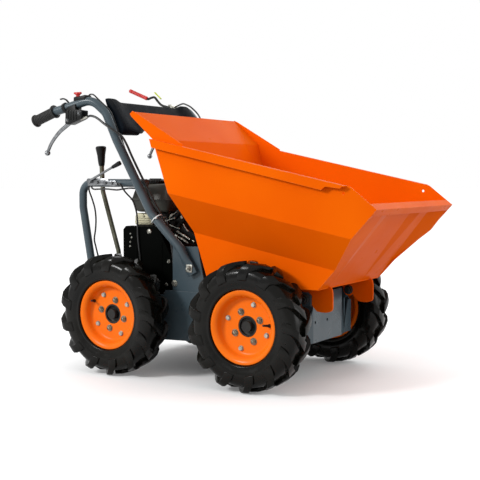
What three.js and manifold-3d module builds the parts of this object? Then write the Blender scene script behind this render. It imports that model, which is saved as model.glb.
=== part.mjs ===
// Walk-behind site dumper with four driven wheels and a forward-tipping steel skip.
//
// Millimetres. +X points forward, +Y to the operator's left, +Z up. While it is being built, x = 0 lies over
// the rear axle and z = 0 is the ground; the last lines move the machine so that the origin is on the ground
// at the middle of its length. "Right" is the -Y side.

import * as THREE from "three";
import { mergeVertices } from "three/addons/utils/BufferGeometryUtils.js";
import Module from "manifold-3d";

const wasm = await Module();
wasm.setup();

// ---------------------------------------------------------------- driving dimensions

const gap = 0.3; // between pieces that touch
const runningGap = 0.3; // radial, shaft in bore
const clearance = 6; // between pieces that move past each other

// wheels
const wheelbase = 533;
const axleHeight = 204; // the tyre's flat facet stands on the ground
const wheelY = 297; // wheel centre plane
const tyreHalfWidth = 53;
const wheelSides = 24;
const rimRadius = 98;
const flangeRadius = 116;
const rimHalfWidth = 38.5;
const hubRadius = 33;
const axleRadius = 17;
const axleHousingRadius = 28;

// chassis
const plate = 4;
const sideY = 210; // outer face of the chassis side plates
const frameRear = -190;
const frameNose = 107; // chassis side plates ahead of the front axle
const frameFront = wheelbase + frameNose;
const noseBulge = 15; // the middle of the front plate stands this far ahead of its wings
const engineDeckTop = 264;
const skipDeckTop = 283;
const upstandX = 180; // rear edge of the upstand plates
const upstandTop = 437;

// skip
const sheet = 3;
const skipTilt = THREE.MathUtils.degToRad(11.2); // the folds of the side walls run down to the front
const skipHalfWidth = 315; // upper band, middle of the sheet
const skipFootHalfWidth = 230; // lower band
const skipFloorZ = 322;
const pivotAhead = 131; // the skip's pivot ahead of the front axle
const pivot = [wheelbase + pivotAhead, 283];
const fromPivot = (x, z) => [pivot[0] + x, z];
const lip = fromPivot(304, 573);
const rimFront = fromPivot(221, 638);
const earFront = fromPivot(-365, 764);
const earStep = 6;
const backTop = fromPivot(-574, 884);
const backFold = fromPivot(-483, 789);
const backFoot = fromPivot(-323, skipFloorZ);
const frontFoot = fromPivot(75, skipFloorZ);
const frontFold = fromPivot(132, 385); // front end of the lower fold
const upperFoldFront = fromPivot(226, 487);
const rimOut = 20; // width of the folded rim
const rimDrop = 28; // height of its outer leg
const rimEnd = pivot[0] + 136; // where the outer leg starts to taper
const rimTip = pivot[0] + 208;
const pivotBolt = 8;
const lobeY = 150; // inner face of the skip's pivot brackets
const lobeThickness = 6;

// handlebars
const barRadius = 15;
const gripY = 297;
const gripWall = 3.4;
const footBolt = [247, 365]; // handlebar foot bolt on the upstand

// engine
const engineRear = -30;
const guardRear = -46;
const guardFront = 163;
const guardY = 186; // outer face of the belt guard
const guardTop = 497;
const headTop = 544;
const tankTop = 644;
const tankRear = -50;

// ---------------------------------------------------------------- materials

const paint = (color, roughness = 0.4, metalness = 0) =>
  new THREE.MeshStandardMaterial({ color, roughness, metalness });
const orange = paint(0xee6206, 0.32);
const grey = paint(0x4d5a63, 0.42);
const darkGrey = paint(0x23282e, 0.45);
const blackSteel = paint(0x0b0b0c, 0.35);
const plastic = paint(0x1b1b1b, 0.6);
const rubber = paint(0x171715, 0.85);
const castAlloy = paint(0xa9a68c, 0.55, 0.3);
const red = paint(0xa5141c, 0.5);
const cable = paint(0x111111, 0.55);

// ---------------------------------------------------------------- solids

const solidOf = (geometry) => {
  const bare = new THREE.BufferGeometry().setAttribute("position", geometry.getAttribute("position"));
  if (geometry.index) bare.setIndex(geometry.index);
  const merged = mergeVertices(bare, 1e-3);
  return new wasm.Manifold(
    new wasm.Mesh({
      numProp: 3,
      vertProperties: new Float32Array(merged.attributes.position.array),
      triVerts: new Uint32Array(merged.index.array),
    }),
  );
};

const geometryOf = (solid) => {
  const mesh = solid.getMesh();
  return new THREE.BufferGeometry()
    .setAttribute("position", new THREE.BufferAttribute(new Float32Array(mesh.vertProperties), 3))
    .setIndex(new THREE.BufferAttribute(new Uint32Array(mesh.triVerts), 1));
};

const join = (...parts) => geometryOf(parts.map(solidOf).reduce((a, b) => a.add(b)));
const cut = (part, ...tools) => geometryOf(tools.map(solidOf).reduce((a, b) => a.subtract(b), solidOf(part)));
const common = (a, b) => geometryOf(solidOf(a).intersect(solidOf(b)));

// The same piece on the other side of the machine.
const mirrored = (geometry) => {
  const other = (geometry.index ? geometry.toNonIndexed() : geometry.clone()).scale(1, -1, 1);
  const p = other.getAttribute("position");
  const bare = new Float32Array(p.array);
  for (let i = 0; i < bare.length; i += 9)
    for (let k = 0; k < 3; k += 1)
      [bare[i + 3 + k], bare[i + 6 + k]] = [bare[i + 6 + k], bare[i + 3 + k]];
  return new THREE.BufferGeometry().setAttribute("position", new THREE.BufferAttribute(bare, 3));
};

const box = (x0, x1, y0, y1, z0, z1) =>
  new THREE.BoxGeometry(x1 - x0, y1 - y0, z1 - z0).translate((x0 + x1) / 2, (y0 + y1) / 2, (z0 + z1) / 2);

const shapeOf = (points) => new THREE.Shape(points.map(([a, b]) => new THREE.Vector2(a, b)));

// A flat plate whose outline is drawn in X and Z, between two Y values.
const plateXZ = (outline, y0, y1, curveSegments = 4) => {
  const shape = outline instanceof THREE.Shape ? outline : shapeOf(outline);
  return new THREE.ExtrudeGeometry(shape, { depth: y1 - y0, bevelEnabled: false, curveSegments })
    .rotateX(Math.PI / 2)
    .translate(0, y1, 0);
};

// A flat plate whose outline is drawn in Y and Z, between two X values.
const plateYZ = (outline, x0, x1) =>
  new THREE.ExtrudeGeometry(shapeOf(outline), { depth: x1 - x0, bevelEnabled: false })
    .applyMatrix4(
      new THREE.Matrix4().makeBasis(
        new THREE.Vector3(0, 1, 0),
        new THREE.Vector3(0, 0, 1),
        new THREE.Vector3(1, 0, 0),
      ),
    )
    .translate(x0, 0, 0);

// A flat plate whose outline is drawn in X and Y, between two heights.
const plateXY = (outline, z0, z1) =>
  new THREE.ExtrudeGeometry(shapeOf(outline), { depth: z1 - z0, bevelEnabled: false }).translate(0, 0, z0);

// A box with its vertical edges rounded off by straight chamfers.
const chamferedBox = (x0, x1, y0, y1, z0, z1, c) =>
  plateXY(
    [
      [x0 + c, y0], [x1 - c, y0], [x1, y0 + c], [x1, y1 - c],
      [x1 - c, y1], [x0 + c, y1], [x0, y1 - c], [x0, y0 + c],
    ],
    z0,
    z1,
  );

// A turned piece about an axis along Y. The profile of [radius, y] points starts and ends on the axis, or is
// a closed loop.
const turned = (profile, sides, x, z) => {
  const closing = profile[0][0] === 0 ? [] : [profile[0]];
  const loop = [...profile, ...closing].map(([r, y]) => new THREE.Vector2(r, y));
  const raw = new THREE.LatheGeometry(loop, sides, Math.PI / sides);
  const solid = solidOf(raw);
  if (solid.volume() < 0) return turned([...profile].reverse(), sides, x, z);
  return geometryOf(solid).translate(x, 0, z);
};

// A straight round bar between two points.
const bar = (from, to, radius, sides = 10, endRadius = radius) => {
  const a = new THREE.Vector3(...from);
  const b = new THREE.Vector3(...to);
  const turn = new THREE.Quaternion().setFromUnitVectors(
    new THREE.Vector3(0, 1, 0),
    b.clone().sub(a).normalize(),
  );
  const middle = a.clone().add(b).multiplyScalar(0.5);
  return new THREE.CylinderGeometry(endRadius, radius, a.distanceTo(b), sides)
    .applyQuaternion(turn)
    .translate(middle.x, middle.y, middle.z);
};

// A centreline of straight runs whose corners are rounded with one bend radius.
const bentPath = (points, bend) => {
  const p = points.map((q) => new THREE.Vector3(...q));
  const path = new THREE.CurvePath();
  let start = p[0];
  for (let i = 1; i < p.length - 1; i += 1) {
    const before = p[i - 1].clone().sub(p[i]).normalize();
    const after = p[i + 1].clone().sub(p[i]).normalize();
    const turn = Math.PI - before.angleTo(after);
    const trim = bend * Math.tan(turn / 2);
    const a = p[i].clone().addScaledVector(before, trim);
    const b = p[i].clone().addScaledVector(after, trim);
    path.add(new THREE.LineCurve3(start, a));
    path.add(new THREE.QuadraticBezierCurve3(a, p[i], b));
    start = b;
  }
  path.add(new THREE.LineCurve3(start, p[p.length - 1]));
  return path;
};

// Points along a path: only the ends of straight runs, and a few in each bend.
const stationsOf = (path, perBend) =>
  path.curves.flatMap((curve, i) => {
    const steps = curve.isLineCurve3 ? 1 : perBend;
    const first = i === 0 ? 0 : 1;
    return Array.from({ length: steps + 1 - first }, (_, k) => curve.getPoint((k + first) / steps));
  });

// A round tube swept along points, with flat ends.
const swept = (stations, radius, sides) => {
  const route = {
    getPointAt: (t) => stations[Math.round(t * (stations.length - 1))].clone(),
    getSpacedPoints: () => stations.map((s) => s.clone()),
    computeFrenetFrames: () => framesOf(stations),
  };
  const section = new THREE.Shape(
    Array.from({ length: sides }, (_, i) => {
      const a = (2 * Math.PI * i) / sides;
      return new THREE.Vector2(radius * Math.cos(a), radius * Math.sin(a));
    }),
  );
  return new THREE.ExtrudeGeometry(section, { steps: stations.length - 1, extrudePath: route });
};

// Rotation-minimising frames at the stations.
const framesOf = (stations) => {
  const last = stations.length - 1;
  const tangents = stations.map((s, i) =>
    stations[Math.min(i + 1, last)].clone().sub(stations[Math.max(i - 1, 0)]).normalize(),
  );
  const side = Math.abs(tangents[0].y) < 0.9 ? new THREE.Vector3(0, 1, 0) : new THREE.Vector3(1, 0, 0);
  let normal = side.sub(tangents[0].clone().multiplyScalar(side.dot(tangents[0]))).normalize();
  const normals = tangents.map((t) => {
    normal = normal.clone().sub(t.clone().multiplyScalar(normal.dot(t))).normalize();
    return normal;
  });
  return { tangents, normals, binormals: tangents.map((t, i) => t.clone().cross(normals[i])) };
};

const tube = (points, radius, bend, sides = 10, perBend = 4) =>
  swept(stationsOf(bentPath(points, bend), perBend), radius, sides);

const flexible = (points, radius, steps) => {
  const curve = new THREE.CatmullRomCurve3(points.map((q) => new THREE.Vector3(...q)), false, "centripetal");
  return swept(curve.getSpacedPoints(steps), radius, 8);
};

// ---------------------------------------------------------------- assembly

const machine = new THREE.Group();

const add = (name, geometry, material) => {
  const mesh = new THREE.Mesh(geometry, material);
  mesh.name = name;
  machine.add(mesh);
};

// The right-hand piece as drawn, and its mirror image on the left.
const addPair = (name, geometry, material) => {
  add(`${name}_right`, geometry, material);
  add(`${name}_left`, mirrored(geometry), material);
};

// ---------------------------------------------------------------- wheels and axles

const tyre = () => {
  const tread = axleHeight / Math.cos(Math.PI / wheelSides);
  const seat = rimHalfWidth - 9;
  return [
    [rimRadius + gap, -seat], [flangeRadius + gap, -rimHalfWidth + 3], [flangeRadius + 4, -rimHalfWidth - 3],
    [150, -tyreHalfWidth], [183, -tyreHalfWidth + 6], [tread, -26],
    [tread, 26], [183, tyreHalfWidth - 6], [150, tyreHalfWidth],
    [flangeRadius + 4, rimHalfWidth + 3], [flangeRadius + gap, rimHalfWidth - 3], [rimRadius + gap, seat],
  ];
};

// Rim, dished disc and hub. Positive y is the outer side.
const wheelDisc = () => {
  const bore = axleRadius + runningGap;
  const well = rimRadius - 4;
  const seat = rimHalfWidth - 8;
  const discIn = 2;
  const discOut = 6;
  return [
    [bore, -26], [hubRadius, -26], [hubRadius, discIn], [well, discIn], [well, -seat],
    [flangeRadius - 3, -rimHalfWidth], [flangeRadius, -rimHalfWidth + 2.5], [rimRadius, -seat],
    [rimRadius, seat], [flangeRadius, rimHalfWidth - 2.5], [flangeRadius - 3, rimHalfWidth],
    [well, seat], [well, discOut], [hubRadius, discOut], [hubRadius, 14], [bore, 14],
  ];
};

// Half axle from the drive case to the wheel: a housing through the side plate, then the shaft in the hub.
const caseReach = 75; // half length of a drive case
const halfAxle = (caseY) => {
  const outwards = (y) => -y;
  return [
    [0, outwards(caseY)], [axleHousingRadius, outwards(caseY)], [axleHousingRadius, outwards(wheelY - 28)],
    [axleRadius, outwards(wheelY - 28)], [axleRadius, outwards(wheelY + 14)], [0, outwards(wheelY + 14)],
  ];
};

const flipY = (profile) => profile.map(([r, y]) => [r, -y]).reverse();

for (const [end, x] of [["front", wheelbase], ["rear", 0]]) {
  const tyreRight = turned(flipY(tyre()), wheelSides, x, axleHeight).translate(0, -wheelY, 0);
  addPair(`tyre_${end}`, tyreRight, rubber);
  const discRight = turned(flipY(wheelDisc()), wheelSides, x, axleHeight).translate(0, -wheelY, 0);
  addPair(`wheel_${end}`, discRight, orange);
  const caseHalf = end === "front" ? 60 : 90;
  const half = turned(halfAxle(caseHalf - 2), 16, x, axleHeight);
  const driveCase = chamferedBox(x - caseReach, x + caseReach, -caseHalf, caseHalf, 128, 252, 14);
  const shaftStart = [caseReach - 2, 0, axleHeight - 10];
  const shaftEnd = [wheelbase - caseReach - gap, 0, axleHeight - 10];
  const casing = end === "front" ? driveCase : join(driveCase, bar(shaftStart, shaftEnd, 16, 12));
  add(`axle_${end}`, join(casing, half, mirrored(half)), darkGrey);
}

// ---------------------------------------------------------------- chassis

const axleHole = (x) =>
  turned(
    [
      [0, -sideY - 20], [axleHousingRadius + gap, -sideY - 20],
      [axleHousingRadius + gap, -sideY + 40], [0, -sideY + 40],
    ],
    16,
    x,
    axleHeight,
  );

const sidePlate = cut(
  plateXZ(
    [
      [frameRear, 105], [frameFront, 133], [frameFront, 243], [frameFront - 30, skipDeckTop + 2],
      [152, skipDeckTop + 2], [140, engineDeckTop - 2], [frameRear, engineDeckTop - 2],
    ],
    -sideY,
    -sideY + plate,
  ),
  axleHole(0),
  axleHole(wheelbase),
);
addPair("chassis_side", sidePlate, grey);

const insideY = sideY - plate - gap;
// The front plate: two wings folded back from a tall middle. Each fold is notched, so that a bracket of the
// skip can swing through, and a slanting facet closes the notch behind.
const notch = { foot: 150, in: 106, out: 185, z: 150, top: 243 };
const nose = { middle: 104, wing: 160, low: 133, high: 293 };
const wingX = frameFront + gap;
const noseX = wingX + noseBulge;
const foldedNose = [
  [wingX + plate, -sideY], [wingX + plate, -nose.wing], [noseX + plate, -nose.middle],
  [noseX + plate, nose.middle], [wingX + plate, nose.wing], [wingX + plate, sideY],
  [wingX, sideY], [wingX, nose.wing], [noseX, nose.middle],
  [noseX, -nose.middle], [wingX, -nose.wing], [wingX, -sideY],
];
const noseOutline = [
  [-sideY, nose.low], [sideY, nose.low], [sideY, notch.top], [notch.out, notch.top],
  [notch.foot + 6, notch.z],
  [notch.foot - 6, notch.z], [notch.in, notch.top], [notch.in, nose.high], [-notch.in, nose.high],
  [-notch.in, notch.top], [-notch.foot + 6, notch.z], [-notch.foot - 6, notch.z], [-notch.out, notch.top],
  [-sideY, notch.top],
];
const lugInner = lobeY + lobeThickness + clearance; // the lugs stand outboard of the skip's brackets
const frontPlate = common(
  plateXY(foldedNose, nose.low, nose.high),
  plateYZ(noseOutline, wingX, noseX + plate),
);
const frontReturn = box(frameFront - 36, noseX + 1, -notch.in, -notch.in + plate, 180, nose.high);
const facetFoot = notch.z - 12;
const facet = plateXZ(
  [
    [frameFront - 6, facetFoot], [wingX + plate - 1, facetFoot], [wingX + plate - 1, notch.z - 4],
    [frameFront + 1, notch.z], [frameFront - 30, notch.top], [frameFront - 34, notch.top],
    [frameFront - 6, notch.z],
  ],
  -lugInner + gap,
  -notch.in + 2,
);
const frontHalf = join(frontReturn, facet);
add("chassis_front_plate", join(frontPlate, frontHalf, mirrored(frontHalf)), grey);

add(
  "engine_deck",
  join(
    box(frameRear + gap, frameRear + gap + plate, -insideY, insideY, 106, engineDeckTop),
    box(frameRear + gap, 150, -insideY, insideY, engineDeckTop - plate, engineDeckTop),
  ),
  grey,
);
const lugRear = wheelbase + axleHousingRadius + 4;
const upstandOuter = sideY - plate - 2 * gap;
const upstandInner = upstandOuter - plate;
const restX = pivot[0] - 244; // middle of the pad under the skip's floor
const restTop = skipFloorZ - sheet / 2 - gap;
const upstandSlot = box(upstandX - gap, 315, upstandInner - gap, sideY, 240, 300);
add(
  "skip_deck",
  join(
    cut(
      box(155, lugRear - 2, -insideY, insideY, skipDeckTop - plate, skipDeckTop),
      upstandSlot,
      mirrored(upstandSlot),
    ),
    box(restX - 20, restX + 20, -150, 150, skipDeckTop - 1, restTop),
  ),
  grey,
);

// Upstand plates: they carry the feet of the handlebars.
const upstand = cut(
  plateXZ(
    [[upstandX, 250], [300, 250], [313, 291], [282, upstandTop], [upstandX, upstandTop - 4]],
    -upstandOuter,
    -upstandInner,
  ),
  bar([footBolt[0], -sideY - 20, footBolt[1]], [footBolt[0], -180, footBolt[1]], 6, 8),
);
const upstandTie = box(192, 198, -upstandInner - 1, upstandInner + 1, skipDeckTop + gap, 400);
add("upstands", join(upstandTie, upstand, mirrored(upstand)), grey);

// Lugs for the skip's pivot bolts, seated against the wings of the front plate.
const lug = cut(
  plateXZ(
    [
      [lugRear, notch.z], [frameFront, notch.z], [frameFront, 251],
      [pivot[0] - 12, 262], [pivot[0] + 20, 262], [pivot[0] + 20, 296], [pivot[0] + 8, 306], [pivot[0] - 20, 306], [lugRear, 262],
    ],
    -lugInner - 8,
    -lugInner,
  ),
  bar([pivot[0], -200, pivot[1]], [pivot[0], -140, pivot[1]], pivotBolt + 2 * gap, 16),
);
const lugTie = box(frameFront - 30, frameFront - 18, -lugInner - 1, lugInner + 1, notch.z, notch.z + 20);
add("pivot_lugs", join(lugTie, lug, mirrored(lug)), grey);

const pivotPin = join(
  bar([pivot[0], -lobeY + 9, pivot[1]], [pivot[0], -lobeY - 1, pivot[1]], 13, 6),
  bar([pivot[0], -lobeY + 4, pivot[1]], [pivot[0], -lugInner - 18, pivot[1]], pivotBolt, 16),
  bar([pivot[0], -lugInner - 8 - gap, pivot[1]], [pivot[0], -lugInner - 18, pivot[1]], 13, 6),
);

// ---------------------------------------------------------------- skip

// The skip's folds all run along one tilted direction. "Across" is the distance square to it.
const across = ([x, z]) => x * Math.sin(skipTilt) + z * Math.cos(skipTilt);
const upperFold = across(upperFoldFront);
const lowerFold = across(frontFold);

// A section drawn in Y and "across", pushed along the tilted direction through the whole skip.
const alongSkip = (section) => {
  const along = new THREE.Vector3(Math.cos(skipTilt), 0, -Math.sin(skipTilt));
  const up = new THREE.Vector3(Math.sin(skipTilt), 0, Math.cos(skipTilt));
  return new THREE.ExtrudeGeometry(shapeOf(section), { depth: 1600, bevelEnabled: false })
    .applyMatrix4(new THREE.Matrix4().makeBasis(new THREE.Vector3(0, 1, 0), up, along))
    .translate(...along.multiplyScalar(-300).toArray());
};

// The wall's section line, moved out from the middle of its sheet.
const wallLine = (offset) => {
  const slope = Math.atan2(skipHalfWidth - skipFootHalfWidth, upperFold - lowerFold);
  const shift = offset * Math.tan(slope / 2);
  return [
    [skipHalfWidth + offset, 1300],
    [skipHalfWidth + offset, upperFold - shift],
    [skipFootHalfWidth + offset, lowerFold - shift],
    [skipFootHalfWidth + offset, 100],
  ];
};
const negated = (line) => line.map(([y, w]) => [-y, w]);
const rightWall = alongSkip([...negated(wallLine(sheet / 2)), ...negated(wallLine(-sheet / 2)).reverse()]);
const insideLine = wallLine(-sheet / 2 - gap);
const inside = alongSkip([...negated(insideLine), ...[...insideLine].reverse()]);

const silhouette = plateXZ(
  [
    lip, rimFront, earFront, [earFront[0], earFront[1] + earStep], [backTop[0] + 24, backTop[1] - 8],
    [backTop[0] + 10, backTop[1] - 2], [backTop[0], backTop[1] - 10], [backTop[0] + 4, backTop[1] - 18],
    backFold, backFoot, frontFoot,
  ],
  -400,
  400,
);

// Folded rim along the top of the side wall, with its outer leg turned down.
const rimSlope = (rimFront[1] - backFold[1]) / (rimFront[0] - backFold[0]);
const rimZ = (x) => backFold[1] + rimSlope * (x - backFold[0]);
const rimRear = backFold[0] + 1;
const wallFace = skipHalfWidth + sheet / 2 - 1;
const rimTopLeg = plateXZ(
  [
    [rimRear, rimZ(rimRear)], [rimRear, rimZ(rimRear) - sheet],
    [rimTip, rimZ(rimTip) - sheet], [rimTip, rimZ(rimTip)],
  ],
  -wallFace - rimOut,
  -wallFace,
);
const rimOuterLeg = plateXZ(
  [
    [rimRear, rimZ(rimRear)], [rimRear + 8, rimZ(rimRear) - rimDrop],
    [rimEnd, rimZ(rimEnd) - rimDrop], [rimEnd + 14, rimZ(rimEnd) - rimDrop + 10],
    [rimTip - 12, rimZ(rimTip) - 8], [rimTip, rimZ(rimTip)],
  ],
  -wallFace - rimOut,
  -wallFace - rimOut + sheet,
);
addPair("skip_side", join(common(rightWall, silhouette), rimTopLeg, rimOuterLeg), orange);

// A sheet whose outer face is stretched over rows of points, with its thickness given as a vector.
const stretched = (rows, thickness) => {
  const columns = rows[0].length;
  const last = rows.length - 1;
  const front = rows.flat().map((p) => new THREE.Vector3(...p));
  const back = front.map((p) => p.clone().add(thickness));
  const faces = [];
  const quad = (a, b, c, d) => faces.push(a, b, c, a, c, d);
  const f = (r, c) => front[r * columns + c];
  const g = (r, c) => back[r * columns + c];
  for (let r = 0; r < last; r += 1)
    for (let c = 0; c < columns - 1; c += 1) {
      quad(f(r, c), f(r, c + 1), f(r + 1, c + 1), f(r + 1, c));
      quad(g(r, c), g(r + 1, c), g(r + 1, c + 1), g(r, c + 1));
    }
  for (let r = 0; r < last; r += 1) {
    quad(f(r, 0), f(r + 1, 0), g(r + 1, 0), g(r, 0));
    quad(f(r + 1, columns - 1), f(r, columns - 1), g(r, columns - 1), g(r + 1, columns - 1));
  }
  for (let c = 0; c < columns - 1; c += 1) {
    quad(f(0, c + 1), f(0, c), g(0, c), g(0, c + 1));
    quad(f(last, c), f(last, c + 1), g(last, c + 1), g(last, c));
  }
  const made = new THREE.BufferGeometry().setFromPoints(faces);
  if (solidOf(made).volume() > 0) return made;
  return new THREE.BufferGeometry().setFromPoints([...faces].reverse());
};

// Back: upright with a flare at the top, and its top corners closed by slanting facets.
const floorTop = skipFloorZ + sheet / 2;
const backInset = 3;
const backSlope = (backFold[0] - backFoot[0]) / (backFold[1] - backFoot[1]);
const backX = (z) => backFoot[0] + backSlope * (z - skipFloorZ) + backInset;
const corner = { z: 690, wide: 250, reach: 26 }; // facets that close its top corners
const backRow = (x, z, inner, wallX) => [
  [wallX, -skipHalfWidth - 15, z], [x, -inner, z], [x, inner, z], [wallX, skipHalfWidth + 15, z],
];
const backSheet = stretched(
  [
    backRow(backX(floorTop + gap), floorTop + gap, 200, backX(floorTop + gap)),
    backRow(backX(corner.z), corner.z, skipHalfWidth - 14, backX(corner.z) + corner.reach),
    backRow(backX(backFold[1]), backFold[1], corner.wide, backX(backFold[1]) + corner.reach),
    backRow(backTop[0] + 10, backTop[1] - 4, skipHalfWidth - 10, backTop[0] + 14),
  ],
  new THREE.Vector3(sheet * 1.06, 0, 0),
);
add("skip_back", common(backSheet, inside), orange);

const frontInset = 1; // the front sheet's foot stands this far behind the front edge of the side walls
add(
  "skip_floor",
  common(
    box(backFoot[0] + 1, frontFoot[0] - frontInset, -400, 400, skipFloorZ - sheet / 2, floorTop),
    inside,
  ),
  orange,
);

// Front: steeper than the front edge of the side walls, so it ends under a hollow box lip. A shallow channel
// is pressed into its middle, and its outer strips are folded forward to meet the side walls.
const wallSlope = (lip[0] - frontFoot[0]) / (lip[1] - frontFoot[1]);
const wallEdgeX = (z) => frontFoot[0] + wallSlope * (z - skipFloorZ);
const lipHeight = 19.5; // of its lower leg
const lipFoot = lip[1] - lipHeight;
const headInset = 32; // the sheet's top stands this far behind the side walls
const frontSlope = (wallEdgeX(lipFoot) - headInset - frontFoot[0] + frontInset) / (lipFoot - skipFloorZ);
const frontX = (z) => frontFoot[0] - frontInset + frontSlope * (z - skipFloorZ);
const channel = { floor: 92, top: 155, footDepth: 2, headDepth: 9 };
const strip = { fold: 220, reach: 400 };
const stripHead = ((headInset - sheet) * (strip.reach - strip.fold)) / (skipHalfWidth - strip.fold);
const frontRow = (z, depth, bend) => {
  const face = frontX(z);
  const floor = face - depth * Math.hypot(1, frontSlope);
  const half = [
    [floor, channel.floor, z], [face, channel.top, z], [face, strip.fold, z], [face + bend, strip.reach, z],
  ];
  return [...half.map(([x, y, h]) => [x, -y, h]).reverse(), ...half];
};
const frontSheet = stretched(
  [frontRow(floorTop + gap, channel.footDepth, 0), frontRow(lipFoot + 1, channel.headDepth, stripHead)],
  new THREE.Vector3(-sheet * Math.hypot(1, frontSlope), 0, 0),
);

// The outline of a convex section moved inwards.
const inset = (outline, distance) => {
  const sides = outline.map(([x, z], i) => {
    const [nextX, nextZ] = outline[(i + 1) % outline.length];
    const long = Math.hypot(nextX - x, nextZ - z);
    const [nx, nz] = [-(nextZ - z) / long, (nextX - x) / long];
    return { nx, nz, d: nx * x + nz * z + distance };
  });
  return sides.map((b, i) => {
    const a = sides[(i + sides.length - 1) % sides.length];
    const det = a.nx * b.nz - a.nz * b.nx;
    return [(a.d * b.nz - b.d * a.nz) / det, (a.nx * b.d - b.nx * a.d) / det];
  });
};
const lipCrown = [lip[0] - 21, lip[1] + 16.5];
const lipSection = [
  [frontX(lipFoot) - 18, lipFoot], [wallEdgeX(lipFoot) - gap, lipFoot], [lip[0] - gap, lip[1]], lipCrown,
];
const lipBar = cut(plateXZ(lipSection, -400, 400), plateXZ(inset(lipSection, sheet), -401, 401));
add("skip_front", common(join(frontSheet, lipBar), inside), orange);

// Pivot brackets under the skip: a foot round the bolt, and a toe that covers the front edge of the floor.
const bracketTop = skipFloorZ - sheet / 2 - gap;
const toeTop = floorTop + 1.5;
const toeX = frontX(toeTop) + gap + 0.1;
const toeFront = pivot[0] + 89;
const bracketShape = new THREE.Shape();
bracketShape.moveTo(pivot[0] - 46, bracketTop);
bracketShape.lineTo(pivot[0] - 21, pivot[1] + 6);
bracketShape.absarc(pivot[0], pivot[1], 21, Math.PI * 0.92, Math.PI * 1.75, false);
bracketShape.quadraticCurveTo(pivot[0] + 21, 258, pivot[0] + 34, 246);
bracketShape.quadraticCurveTo(pivot[0] + 64, 240, toeFront - 8, 248);
bracketShape.quadraticCurveTo(toeFront, 251, toeFront, 262);
bracketShape.lineTo(toeFront, 300);
bracketShape.quadraticCurveTo(toeFront - 1, toeTop - 2, toeX + 3, toeTop);
bracketShape.lineTo(toeX, toeTop);
bracketShape.lineTo(toeX, bracketTop);
addPair("skip_bracket", join(plateXZ(bracketShape, -lobeY - lobeThickness, -lobeY, 6), pivotPin), orange);

// ---------------------------------------------------------------- handlebars and hoops

const mirrorPoint = ([x, y, z]) => [x, -y, z];
const barFootY = upstandOuter + gap + barRadius;
const barPoints = [
  [footBolt[0] + 14, -barFootY, footBolt[1] - 18], [113, -barFootY, 532], [62, -barFootY - 2, 618],
  [-10, -262, 792], [-50, -268, 884], [-100, -280, 931], [-256, -gripY, 893], [-342, -gripY, 864],
];
const barStations = stationsOf(bentPath(barPoints, 60), 4);
const barRight = swept(barStations, barRadius, 12);
const barSpace = swept(barStations, barRadius + gap, 12);
const footPin = join(
  bar([footBolt[0], -upstandInner + 8, footBolt[1]], [footBolt[0], -upstandInner + gap, footBolt[1]], 10, 6),
  bar([footBolt[0], -upstandInner + 2, footBolt[1]], [footBolt[0], -barFootY, footBolt[1]], 5.4, 8),
  bar([footBolt[0], -barFootY, footBolt[1]], [footBolt[0], -barFootY - barRadius - 7, footBolt[1]], 10, 6),
);
addPair("handlebar", join(barRight, footPin), grey);

const crossX = -71;
const crossZ = 914;
const bothBarSpaces = [barSpace, mirrored(barSpace)];
const crossTube = bar([crossX, -275, crossZ], [crossX, 275, crossZ], 12, 12);

// Console: a sheet cover between the bars, with an arched lower edge.
const consoleSheet = plateYZ(
  [
    [-244, 812], [-150, 812], [-110, 852], [110, 852], [150, 812], [244, 812], [244, 934], [-244, 934],
  ].reverse(),
  -120,
  60,
);
const consoleSlab = plateXZ([[-72, 936], [-76, 934], [-5, 810], [-1, 812]], -260, 260);
add("console", cut(join(common(consoleSheet, consoleSlab), crossTube), ...bothBarSpaces), blackSteel);

const hoopRadius = 14;
const hoopY = barFootY - barRadius - hoopRadius - 1;
const hoopTop = 646;
const hoopPoints = [
  [-167, -hoopY, engineDeckTop + gap], [-222, -hoopY, 560], [-222, -hoopY, hoopTop], [62, -hoopY, hoopTop],
];
const hoopFoot = box(-260, 0, -260, -100, 0, engineDeckTop + gap);
const hoopRoute = [[-161, -hoopY, engineDeckTop - 30], ...hoopPoints.slice(1)];
const hoop = cut(tube(hoopRoute, hoopRadius, 42, 12), hoopFoot);
addPair("rear_hoop", cut(hoop, swept(barStations, barRadius + gap, 12)), grey);

const grip = () => {
  const along = new THREE.Vector3(-342 + 256, 0, 864 - 893).normalize();
  const at = (s) => [-342 - along.x * s, -gripY, 864 - along.z * s];
  const sleeve = join(
    bar(at(96), at(-4), barRadius + gripWall, 12),
    bar(at(96), at(90), barRadius + gripWall + 5, 12),
    bar(at(4), at(-4), barRadius + gripWall + 4, 12),
  );
  return cut(sleeve, barSpace, bar(at(100), at(-gap), barRadius + gap, 12));
};
addPair("grip", grip(), rubber);

// ---------------------------------------------------------------- controls

const housing = cut(
  plateXZ(
    [[-203, 850], [-186, 846], [-128, 866], [-126, 894], [-155, 898], [-155, 916], [-200, 905]],
    -305,
    -270,
  ),
  barSpace,
);
const leverBlade = join(
  swept(
    new THREE.CatmullRomCurve3(
      [[-188, -287, 858], [-212, -289, 842], [-240, -292, 822], [-272, -296, 786], [-289, -gripY, 756]].map(
        (p) => new THREE.Vector3(...p),
      ),
    ).getPoints(8),
    5.5,
    8,
  ),
  new THREE.SphereGeometry(10, 10, 8).translate(-291, -gripY, 751),
);
const adjusterEnd = [-111, -292, 872];
const adjuster = bar([-142, -292, 864.5], adjusterEnd, 5.5, 8);
addPair("drive_lever", join(housing, leverBlade, adjuster), plastic);

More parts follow.
